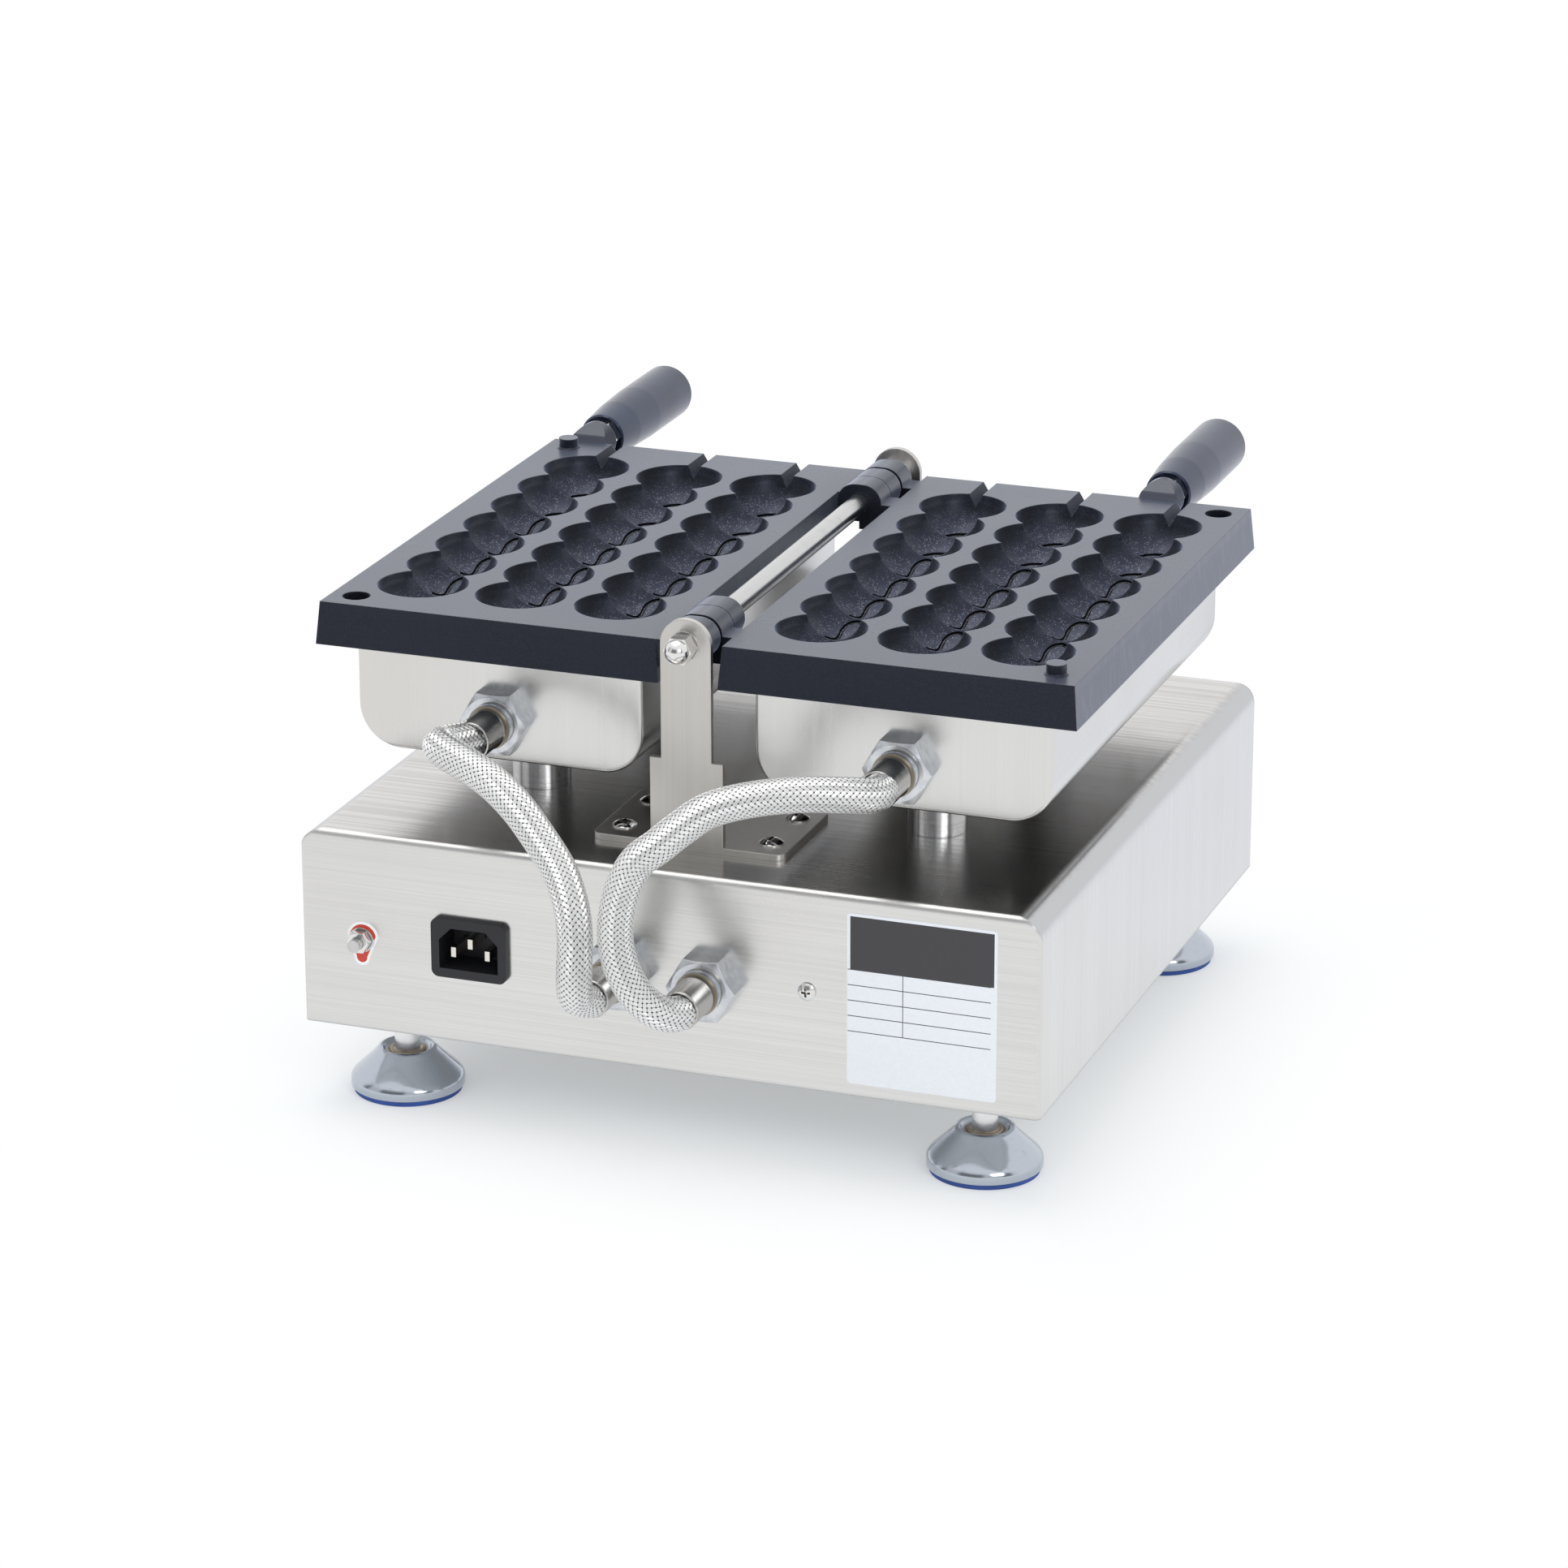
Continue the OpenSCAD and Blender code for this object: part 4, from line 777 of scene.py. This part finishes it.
def sweep(bm, places, radius, segments):
    """Carries a circle through places and closes both ends.

    Its vertices keep how far round and along they are.
    """
    around = bm.verts.layers.float.get("around") or bm.verts.layers.float.new("around")
    along = bm.verts.layers.float.get("along") or bm.verts.layers.float.new("along")
    ring = bmesh.ops.create_circle(bm, segments=segments, radius=radius)["verts"]
    for vert in ring:
        vert[around] = (math.atan2(vert.co.y, vert.co.x) / math.tau) % 1.0
    edges = list({edge for vert in ring for edge in vert.link_edges})
    bmesh.ops.transform(bm, matrix=places[0], verts=ring)
    first, run = list(edges), 0.0
    for before, after in zip(places, places[1:]):
        run += (after.translation - before.translation).length
        grown = bmesh.ops.extrude_edge_only(bm, edges=edges)["geom"]
        verts = [g for g in grown if isinstance(g, bmesh.types.BMVert)]
        edges = [g for g in grown if isinstance(g, bmesh.types.BMEdge)]
        bmesh.ops.transform(bm, matrix=after @ before.inverted(), verts=verts)
        for vert in verts:
            vert[along] = run
    bmesh.ops.edgeloop_fill(bm, edges=first)
    bmesh.ops.edgeloop_fill(bm, edges=edges)
    return around, along


def smooth_line(points, steps):
    """A Catmull-Rom line through points, with so many steps between two of them."""
    points = [Vector(p) for p in points]
    ends = [points[0] * 2 - points[1], *points, points[-1] * 2 - points[-2]]
    line = []
    for a, b, c, d in zip(ends, ends[1:], ends[2:], ends[3:]):
        for i in range(steps):
            t = i / steps
            line.append((b * 2 + (c - a) * t + (a * 2 - b * 5 + c * 4 - d) * t * t
                         + (b * 3 - a - c * 3 + d) * t ** 3) / 2)
    return line + [points[-1]]


def lay_hoses():
    """Braided hoses on the solids' route, square to both glands."""
    radius = sizes().hose_diameter / 2
    for side, _ in SIDES:
        route = [Vector(p) * MM for p in HOSE_ROUTES[side]]
        line = smooth_line(route, 6)
        into_gland = Vector((0, 2 * MM, 0))
        line = [line[0] - into_gland, *line, line[-1] - into_gland]
        bm = bmesh.new()
        around, along = sweep(bm, frames_along(line, (1, 0, 0)), radius, 32)
        bmesh.ops.recalc_face_normals(bm, faces=bm.faces)
        lay = bm.loops.layers.uv.new("UVMap")
        for face in bm.faces:
            wraps = max(v[around] for v in face.verts) > 0.75
            for loop in face.loops:
                u = loop.vert[around]
                loop[lay].uv = (1.0 if wraps and u < 0.25 else u, loop.vert[along])
        hose = piece(f"braided_hose_{side}", bm, None, "hose_braid", wire_braid(), smooth=60.0)
        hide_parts("hose_" + side)
        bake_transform(hose)


def lathe(bm, profile, centre, axis="y", segments=48):
    """Turns a profile of radius and place along the axis, in millimetres, round a line along Y or Z.

    A profile that starts on the axis ends on it too, and stays open there.
    """
    out, ahead = {"y": ((0, 0, 1), (0, 1, 0)), "z": ((1, 0, 0), (0, 0, 1))}[axis]
    verts = [bm.verts.new(centre + Vector(out) * radius * MM + Vector(ahead) * along * MM)
             for radius, along in profile]
    after = verts[1:] if profile[0][0] == 0 else verts[1:] + verts[:1]
    edges = [bm.edges.new(pair) for pair in zip(verts, after)]
    bmesh.ops.spin(bm, geom=verts + edges, cent=centre, axis=ahead, angle=math.tau, steps=segments,
                   use_merge=True)
    bmesh.ops.remove_doubles(bm, verts=bm.verts, dist=0.000001)
    bmesh.ops.recalc_face_normals(bm, faces=bm.faces)


def finish_glands():
    """Zinc plated glands. Each gets a rolled steel ferrule and a brass seal in its mouth."""
    dress(zinc_plate(), *pair("base_gland"), *pair("pan_gland"))
    ferrule = [(6.9, 12.1), (7.7, 12.1), (7.7, 14.4), (8.0, 14.8), (8.0, 15.5), (7.7, 15.9),
               (7.7, 29.6), (7.5, 30.0), (6.9, 30.0)]
    seal = [(7.6, 11.6), (8.65, 11.6), (8.75, 12.0), (8.65, 12.4), (7.6, 12.4)]
    added = (("ferrule", ferrule, "rod_steel", ferrule_steel), ("seal", seal, "gland_zinc", crimp_brass))
    for side, sign in SIDES:
        for where, (x, y, z) in GLANDS:
            body = "base" if where == "base" else side + "_pan"
            for name, profile, slot, finish in added:
                bm = bmesh.new()
                lathe(bm, profile, Vector((sign * x, y, z)) * MM)
                piece(f"{name}_{where}_{side}", bm, body, slot, finish(), smooth=40.0)


def smile_path(kind):
    """The milled line of one ball in plan, about the ball's middle, in millimetres."""
    if kind == "shallow":
        return [(7.9 * math.cos(math.radians(a)), 0.3 + 7.9 * math.sin(math.radians(a)))
                for a in range(-15, -166, -10)]
    bend = [(4.9 * math.cos(math.radians(a)), -8.2 + 4.9 * math.sin(math.radians(a)))
            for a in range(0, -181, -12)]
    leg = [(9.3, -0.9), (7.9, -1.6), (6.5, -2.3), (5.5, -3.3), (5.0, -4.6), (4.9, -6.4)]
    return leg + bend + [(-x, y) for x, y in reversed(leg)]


def slope_boss(bm, side):
    """A block that slopes the handle boss from the plate's face up to its end."""
    low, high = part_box("grip_" + side)
    start_y, start_z, end_y, end_z = -100.3 * MM, 199.4 * MM, -108.6 * MM, 203.4 * MM
    rise = math.atan2(end_z - start_z, start_y - end_y)
    verts = bmesh.ops.create_cube(bm, size=1.0)["verts"]
    bmesh.ops.translate(bm, vec=(0, -0.5, 0.5), verts=verts)
    bmesh.ops.scale(bm, vec=(22 * MM, 14 * MM, 9 * MM), verts=verts)
    bmesh.ops.rotate(bm, cent=(0, 0, 0), matrix=Matrix.Rotation(-rise, 3, "X"), verts=verts)
    bmesh.ops.translate(bm, vec=((low.x + high.x) / 2, start_y, start_z), verts=verts)
    for face in {face for vert in verts for face in vert.link_faces}:
        face.material_index = 1


def milling_tool(side, sign):
    """What is taken off one baking plate: the milled line of each ball and the slope of the boss."""
    s = sizes()
    bm = bmesh.new()
    for x in ROW_X:
        for n in range(7):
            middle = Vector((sign * x, FIRST_BALL_Y + n * s.ball_pitch, BALL_Z))
            line = []
            for px, py in smile_path("shallow" if n < 2 else "deep"):
                out = Vector((px * MM, py * MM, 0))
                out.z = -math.sqrt(s.ball_radius ** 2 - out.length_squared)
                line.append(middle + out * (1 - (s.smile_width / 2 - s.smile_depth) / s.ball_radius))
            sweep(bm, frames_along(line, (0, 0, 1)), s.smile_width / 2, 10)
    slope_boss(bm, side)
    bmesh.ops.recalc_face_normals(bm, faces=bm.faces)
    return object_of("milling_tool", bm, milled_line(), plate_coating())


def merged_plate(side):
    """A merged copy of one baking plate, without the solid's own normals and finishes."""
    bm = bmesh.new()
    bm.from_mesh(NODES["plate_" + side].data)
    bmesh.ops.remove_doubles(bm, verts=bm.verts, dist=0.000002)
    bm.normal_update()
    for face in bm.faces:
        face.material_index = 0
    plate = object_of("milled_plate_" + side, bm, plate_coating())
    if plate.data.attributes.get("custom_normal"):
        plate.data.attributes.remove(plate.data.attributes["custom_normal"])
    return plate


def cut_smiles(side, sign):
    """Cuts the milled lines and the boss's slope into one baking plate."""
    tool, plate = milling_tool(side, sign), merged_plate(side)
    cut = plate.modifiers.new("lines", "BOOLEAN")
    cut.operation = "DIFFERENCE"
    cut.object = tool
    cut.solver = "MANIFOLD"
    cut.material_mode = "TRANSFER"
    bpy.context.view_layer.update()
    done = bpy.data.meshes.new_from_object(plate.evaluated_get(bpy.context.evaluated_depsgraph_get()))
    plate.modifiers.clear()
    plate.data = done
    bpy.data.objects.remove(tool)
    shade_smooth(done, 26.0)
    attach(plate, side + "_pan")
    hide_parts("plate_" + side)


def press_covers():
    """Each cover as one pressed tray with soft edges, where the solids are a wrapped sheet and two ends."""
    s = sizes()
    for side, _ in SIDES:
        low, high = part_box("cover_" + side)
        bm = bmesh.new()
        bmesh.ops.create_cube(bm, size=1.0)
        bmesh.ops.scale(bm, vec=high - low, verts=bm.verts)
        bmesh.ops.translate(bm, vec=(low + high) / 2, verts=bm.verts)
        bottom = [e for e in bm.edges if all(abs(v.co.z - low.z) < 1e-6 for v in e.verts)
                  and abs(e.verts[0].co.y - e.verts[1].co.y) > 0.01]
        bmesh.ops.bevel(bm, geom=bottom, affect="EDGES", offset=s.cover_bend, segments=14, profile=0.5,
                        material=-1)
        rims = [e for e in bm.edges if any(all(abs(v.co.y - y) < 1e-6 for v in e.verts)
                                           for y in (low.y, high.y))
                and not all(abs(v.co.z - high.z) < 1e-6 for v in e.verts)]
        bmesh.ops.bevel(bm, geom=rims, affect="EDGES", offset=1.5 * MM, segments=4, profile=0.5, material=-1)
        top = [face for face in bm.faces if face.calc_center_median().z > high.z - 1e-5]
        bmesh.ops.delete(bm, geom=top, context="FACES")
        bmesh.ops.recalc_face_normals(bm, faces=bm.faces)
        bmesh.ops.solidify(bm, geom=bm.faces[:], thickness=s.cover_sheet)
        tray = piece("pressed_cover_" + side, bm, side + "_pan", "stainless", stainless_cover(), smooth=35.0)
        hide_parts("cover_" + side, "cover_ends_" + side)


def finish_feet():
    """Each foot turned again in more detail: a rolled rim over the pad and a dish round the stem."""
    rim = [(0, 3.5), (22.0, 3.5), (22.05, 2.3), (22.45, 2.3), (22.5, 2.6), (22.5, 4.7), (22.4, 5.5)]
    bell = [(22.0, 6.4), (21.3, 7.3), (20.3, 8.3), (18.6, 9.9), (16.6, 11.8), (14.6, 13.8), (13.0, 15.4),
            (12.0, 16.6), (11.4, 17.4), (10.4, 17.8), (9.8, 17.6)]
    dish = [(9.3, 17.0), (8.9, 16.2), (8.3, 15.9), (7.4, 15.9), (7.1, 16.7), (6.6, 17.0), (5.7, 17.0),
            (5.2, 16.7), (5.0, 16.3)]
    outline = rim + bell + dish + [(5.0, 53.0), (0, 53.0)]
    for place in ("front_left", "front_right", "rear_left", "rear_right"):
        low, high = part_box("foot_" + place)
        bm = bmesh.new()
        lathe(bm, outline, Vector(((low.x + high.x) / 2, (low.y + high.y) / 2, 0)), "z", 64)
        foot = piece("turned_foot_" + place, bm, f"foot_{place}_unit", "foot_chrome", bell_chrome(),
                     smooth=40.0)
        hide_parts("foot_" + place)
        dress(pad_rubber(), "pad_" + place)


def thicken(bm, thickness):
    """Gives a flat sheet its thickness."""
    grown = bmesh.ops.extrude_face_region(bm, geom=bm.faces[:])["geom"]
    raised = [g for g in grown if isinstance(g, bmesh.types.BMVert)]
    bmesh.ops.translate(bm, vec=(0, 0, thickness), verts=raised)
    bmesh.ops.recalc_face_normals(bm, faces=bm.faces)


def add_tag():
    """Printed earth tag on the rear panel: a drop shape with a pale border, bare inside."""
    bm = bmesh.new()
    verts = bmesh.ops.create_circle(bm, cap_ends=True, segments=48, radius=sizes().tag_radius)["verts"]
    tip = [v for v in verts if v.co.y < 1e-7]
    bmesh.ops.scale(bm, vec=(0.5, 0.5, 1.0), verts=tip)
    bmesh.ops.translate(bm, vec=(0.6 * MM, -8.0 * MM, 0), verts=tip)
    bmesh.ops.inset_region(bm, faces=bm.faces[:], thickness=1.1 * MM, use_even_offset=True,
                           use_boundary=True)
    for face in bm.faces:
        if len(face.verts) > 4:
            face.material_index = 1
    thicken(bm, 0.2 * MM)
    place = Matrix.Translation(Vector(TAG_PLACE) * MM) @ Matrix.Rotation(math.pi / 2, 4, "X")
    bmesh.ops.transform(bm, matrix=place, verts=bm.verts)
    piece("earth_tag", bm, "base", "terminal_plastic", tag_border(), tag_field())


def add_label():
    """Bare rating label: a thin sheet with rounded corners on the rear panel."""
    s = sizes()
    bm = bmesh.new()
    bmesh.ops.create_grid(bm, x_segments=1, y_segments=1, size=0.5)
    bmesh.ops.scale(bm, vec=(s.label_width, s.label_height, 1.0), verts=bm.verts)
    bmesh.ops.bevel(bm, geom=bm.verts[:], affect="VERTICES", offset=1.6 * MM, segments=5, profile=0.5,
                    material=-1)
    thicken(bm, 0.15 * MM)
    middle = (LABEL_LEFT * MM + s.label_width / 2, REAR_PANEL_Y * MM, LABEL_TOP * MM - s.label_height / 2)
    turn = Matrix.Rotation(math.pi / 2, 4, "X") @ Matrix.Rotation(math.pi, 4, "Y")
    bmesh.ops.transform(bm, matrix=Matrix.Translation(middle) @ turn, verts=bm.verts)
    piece("rating_label", bm, "base", "terminal_plastic", label_print())


def finish_controls():
    """Knobs, switch and lamps of the front panel, with a plain printed scale round each knob."""
    dress(knob_plastic(), "thermostat_knob", "timer_knob")
    dress(ground_rod(), "thermostat_shaft", "timer_shaft")
    dress(body_plastic(), "thermostat_body", "timer_body")
    dress(terminal_plastic(), "terminal_block")
    dress(inlet_plastic(), "switch_frame")
    dress(rocker_plastic(), "switch_rocker")
    dress(lamp_lens(), "pilot_lamps")
    ticks, scale_radius, panel_y, knob_z = 11, 20.8, -0.12281, 0.075
    for name, x, sweep_angle in (("thermostat", 0.088, 270.0), ("timer", -0.088, 300.0)):
        bm = bmesh.new()
        for n in range(ticks):
            long = 3.4 if n % 5 == 0 else 2.2
            made = bmesh.ops.create_cube(bm, size=1.0)["verts"]
            bmesh.ops.scale(bm, vec=(0.6 * MM, 0.12 * MM, long * MM), verts=made)
            bmesh.ops.translate(bm, vec=(0, 0, (scale_radius + long / 2) * MM), verts=made)
            angle = math.radians(n * sweep_angle / (ticks - 1))
            bmesh.ops.rotate(bm, cent=(0, 0, 0), matrix=Matrix.Rotation(angle, 3, "Y"), verts=made)
        bmesh.ops.translate(bm, vec=(x, panel_y, knob_z), verts=bm.verts)
        piece(name + "_scale", bm, "base", "knob_plastic", dial_ink())


def set_camera():
    data = bpy.data.cameras.new("camera")
    data.lens = CAMERA_LENS
    data.sensor_width = 36.0
    data.clip_start = 0.05
    camera = bpy.data.objects.new("camera", data)
    heading = Matrix.Rotation(math.radians(CAMERA_HEADING), 4, "Z")
    tilt = Matrix.Rotation(math.radians(90 - CAMERA_TILT), 4, "X")
    roll = Matrix.Rotation(math.radians(CAMERA_ROLL), 4, "Z")
    camera.matrix_world = Matrix.Translation(CAMERA_PLACE) @ (heading @ tilt @ roll)
    bpy.context.scene.collection.objects.link(camera)
    bpy.context.scene.camera = camera


def seen_directly(rays):
    """1 for what the camera, a mirror or a lens sees, 0 for what only lights matt surfaces."""
    return rays.out("Is Camera Ray").larger(rays.out("Is Glossy Ray")).larger(rays.out("Is Transmission Ray"))


def lay_floor():
    """White floor that keeps the object's shadow near it, lightened there by painted light."""
    bm = bmesh.new()
    bmesh.ops.create_grid(bm, x_segments=1, y_segments=1, size=6.0)
    bmesh.ops.translate(bm, vec=(0, 0, -0.0002), verts=bm.verts)
    f = Finish("floor_white")
    floor = object_of("floor", bm, f.material)
    x, y, _ = f.parts(f.place())
    far = (abs(x) - BASE_HALF_X).larger(abs(y - BASE_Y) - BASE_HALF_Y)
    # Painted light: seen directly, the floor glows white, fully beyond the base's outline and by 30% near and
    # under it, which lightens the shadow.
    fade = far.ramp(-0.06, 0.09, 0.30, 1.0)
    rays = f.node("ShaderNodeLightPath")
    # Painted reflection: only in reflections, the floor towards the machine's front glows pale blue.
    behind = rays.out("Is Glossy Ray") * y.ramp(-0.25, 0.1, 1.0, 0.0)
    tint = f.mix(behind, (1.0, 1.0, 1.0), (0.935, 0.95, 1.0))
    white = f.node("ShaderNodeEmission", None, {"Color": tint, "Strength": 1.0})
    matt = f.node("ShaderNodeBsdfDiffuse", None, {"Color": (0.91, 0.955, 0.99)})
    both = f.node("ShaderNodeMixShader", None, {0: fade * seen_directly(rays), 1: matt, 2: white})
    f.feed(f.tree.nodes["Material Output"].inputs["Surface"], both)


def light_room():
    """White room, with dark cards that only reflections on the camera's side show."""
    room = bpy.context.scene.waffle_light.room
    world = bpy.data.worlds.new("studio")
    bpy.context.scene.world = world
    world.use_nodes = True
    f = Finish("studio_nodes")
    f.tree = world.node_tree
    rays = f.node("ShaderNodeLightPath")
    x, y, z = f.parts(f.place("Generated"))
    camera_half = y.ramp(0.05, 0.35)
    height = z.ramp(0.03, 0.12) * z.ramp(0.5, 0.8, 1.0, 0.0)
    card = ((x / (y + 0.25)) * 4.2 + 0.9).sine().ramp(-0.35, 0.35)
    mirrored = f.mix(camera_half * height * (0.30 + card * 0.55), (1.0, 1.0, 1.0), (0.10, 0.105, 0.115))
    plain = f.mix(rays.out("Is Glossy Ray"), (1.0, 1.0, 1.0), mirrored)
    seen = seen_directly(rays)
    ground = f.tree.nodes["Background"]
    f.feed(ground.inputs["Color"], f.mix(seen, (0.96, 0.98, 1.0), plain))
    f.feed(ground.inputs["Strength"], room + seen * (1.0 - room))
    bpy.data.materials.remove(f.material)


def hang_lamp(name, size, power, colour, spot):
    """A soft square lamp that points at the object."""
    lamp = bpy.data.lights.new(name, "AREA")
    lamp.size = size
    lamp.energy = power
    lamp.color = colour
    stand = bpy.data.objects.new(name, lamp)
    aim = Vector((0, 0.02, 0.1)) - Vector(spot)
    stand.matrix_world = Matrix.Translation(spot) @ aim.to_track_quat("-Z", "Y").to_matrix().to_4x4()
    bpy.context.scene.collection.objects.link(stand)


def set_stage():
    bpy.context.scene.view_settings.view_transform = "Standard"
    light = bpy.context.scene.waffle_light
    lay_floor()
    light_room()
    hang_lamp("lamp_above", 1.4, light.lamp, (1.0, 0.985, 0.96), (0.35, -0.25, 1.75))
    hang_lamp("lamp_beside", 0.9, light.fill, (0.97, 0.985, 1.0), (-1.5, 1.5, 1.3))


# Operators and panel


class PlaceCamera(Operator):
    """Stands the camera where the photograph was taken from"""
    bl_idname = "waffle.place_camera"
    bl_label = "Place camera"

    def execute(self, context):
        set_camera()
        return {"FINISHED"}


class LayHoses(Operator):
    """Lays the two braided hoses between base and pans"""
    bl_idname = "waffle.lay_hoses"
    bl_label = "Lay hoses"

    def execute(self, context):
        lay_hoses()
        return {"FINISHED"}


class MillPlates(Operator):
    """Cuts the smile line into each ball and coats the baking plates and knuckles"""
    bl_idname = "waffle.mill_plates"
    bl_label = "Mill baking plates"

    def execute(self, context):
        for side, sign in SIDES:
            cut_smiles(side, sign)
        dress(plate_coating(), *pair("knuckles"))
        return {"FINISHED"}


class FinishBase(Operator):
    """Brushes the folded base and its bottom plate"""
    bl_idname = "waffle.finish_base"
    bl_label = "Finish base"

    def execute(self, context):
        dress(stainless_base(), "base_shell", "bottom_plate")
        return {"FINISHED"}


class PressCovers(Operator):
    """Presses the covers of the pans and brushes them"""
    bl_idname = "waffle.press_covers"
    bl_label = "Press covers"

    def execute(self, context):
        press_covers()
        return {"FINISHED"}


class FinishHinge(Operator):
    """Finishes brackets, hinge rod, sleeve and nuts"""
    bl_idname = "waffle.finish_hinge"
    bl_label = "Finish hinge"

    def execute(self, context):
        dress(satin_bracket(), "front_bracket", "rear_bracket")
        dress(ground_rod(), "hinge_rod", "rod_sleeve")
        dress(bright_steel(), "rod_nuts")
        return {"FINISHED"}


class FinishScrews(Operator):
    """Finishes screws, nuts and studs"""
    bl_idname = "waffle.finish_screws"
    bl_label = "Finish screws"

    def execute(self, context):
        dress(bright_steel(), "bottom_screws", "rear_screw", "bracket_screws", "earth_nuts",
              *pair("cover_screws"), *pair("handle_nut"))
        dress(ground_rod(), "earth_stud", *pair("handle_stud"))
        return {"FINISHED"}


class FinishFeet(Operator):
    """Turns the levelling feet in more detail and finishes them and their pads"""
    bl_idname = "waffle.finish_feet"
    bl_label = "Finish feet"

    def execute(self, context):
        finish_feet()
        return {"FINISHED"}


class FinishRestPosts(Operator):
    """Finishes the four rest posts"""
    bl_idname = "waffle.finish_rest_posts"
    bl_label = "Finish rest posts"

    def execute(self, context):
        dress(turned_aluminium(), "rest_posts")
        return {"FINISHED"}


class FinishGlands(Operator):
    """Finishes the hose glands and adds their ferrules and seals"""
    bl_idname = "waffle.finish_glands"
    bl_label = "Finish glands"

    def execute(self, context):
        finish_glands()
        return {"FINISHED"}


class FinishInlet(Operator):
    """Finishes the mains inlet and its pins"""
    bl_idname = "waffle.finish_inlet"
    bl_label = "Finish inlet"

    def execute(self, context):
        dress(inlet_plastic(), "inlet_socket")
        dress(nickel(), "inlet_pins")
        return {"FINISHED"}


class AddTag(Operator):
    """Adds the bare earth tag"""
    bl_idname = "waffle.add_tag"
    bl_label = "Add earth tag"

    def execute(self, context):
        add_tag()
        return {"FINISHED"}


class AddLabel(Operator):
    """Adds the bare rating label"""
    bl_idname = "waffle.add_label"
    bl_label = "Add label"

    def execute(self, context):
        add_label()
        return {"FINISHED"}


class FinishControls(Operator):
    """Finishes knobs, switch and lamps and prints the dial scales"""
    bl_idname = "waffle.finish_controls"
    bl_label = "Finish controls"

    def execute(self, context):
        finish_controls()
        return {"FINISHED"}


class FinishHandles(Operator):
    """Finishes the grips"""
    bl_idname = "waffle.finish_handles"
    bl_label = "Finish handles"

    def execute(self, context):
        dress(grip_phenolic(), *pair("grip"))
        return {"FINISHED"}


class FinishHeating(Operator):
    """Finishes heaters and insulation"""
    bl_idname = "waffle.finish_heating"
    bl_label = "Finish heating"

    def execute(self, context):
        dress(heater_sheath(), *pair("heater"))
        dress(mineral_wool(), *pair("insulation"))
        return {"FINISHED"}


class SetStage(Operator):
    """Sets floor, room and lamps"""
    bl_idname = "waffle.set_stage"
    bl_label = "Set stage"

    def execute(self, context):
        set_stage()
        return {"FINISHED"}


STEPS = (PlaceCamera, LayHoses, MillPlates, FinishBase, PressCovers, FinishHinge, FinishScrews,
         FinishFeet, FinishRestPosts, FinishGlands, FinishInlet, AddTag, AddLabel, FinishControls,
         FinishHandles, FinishHeating, SetStage)


class WafflePanel(Panel):
    """Lists the steps that dress the waffle maker, and its sizes and colours"""
    bl_idname = "VIEW3D_PT_waffle_maker"
    bl_label = "Waffle maker"
    bl_space_type = "VIEW_3D"
    bl_region_type = "UI"
    bl_category = "Waffle maker"

    def draw(self, context):
        layout = self.layout
        for step in STEPS:
            layout.operator(step.bl_idname)
        for group in (context.scene.waffle_sizes, context.scene.waffle_colours, context.scene.waffle_light):
            column = layout.column()
            for name in group.__annotations__:
                column.prop(group, name)


GROUPS = {"waffle_sizes": WaffleSizes, "waffle_colours": WaffleColours, "waffle_light": WaffleLight}


def register():
    for name, group in GROUPS.items():
        bpy.utils.register_class(group)
        setattr(Scene, name, PointerProperty(type=group))
    for step in STEPS:
        bpy.utils.register_class(step)
    bpy.utils.register_class(WafflePanel)


def unregister():
    bpy.utils.unregister_class(WafflePanel)
    for step in reversed(STEPS):
        bpy.utils.unregister_class(step)
    for name, group in GROUPS.items():
        delattr(Scene, name)
        bpy.utils.unregister_class(group)


def main():
    register()
    for step in STEPS:
        getattr(bpy.ops.waffle, step.bl_idname.removeprefix("waffle."))()


if __name__ == "__main__":
    main()
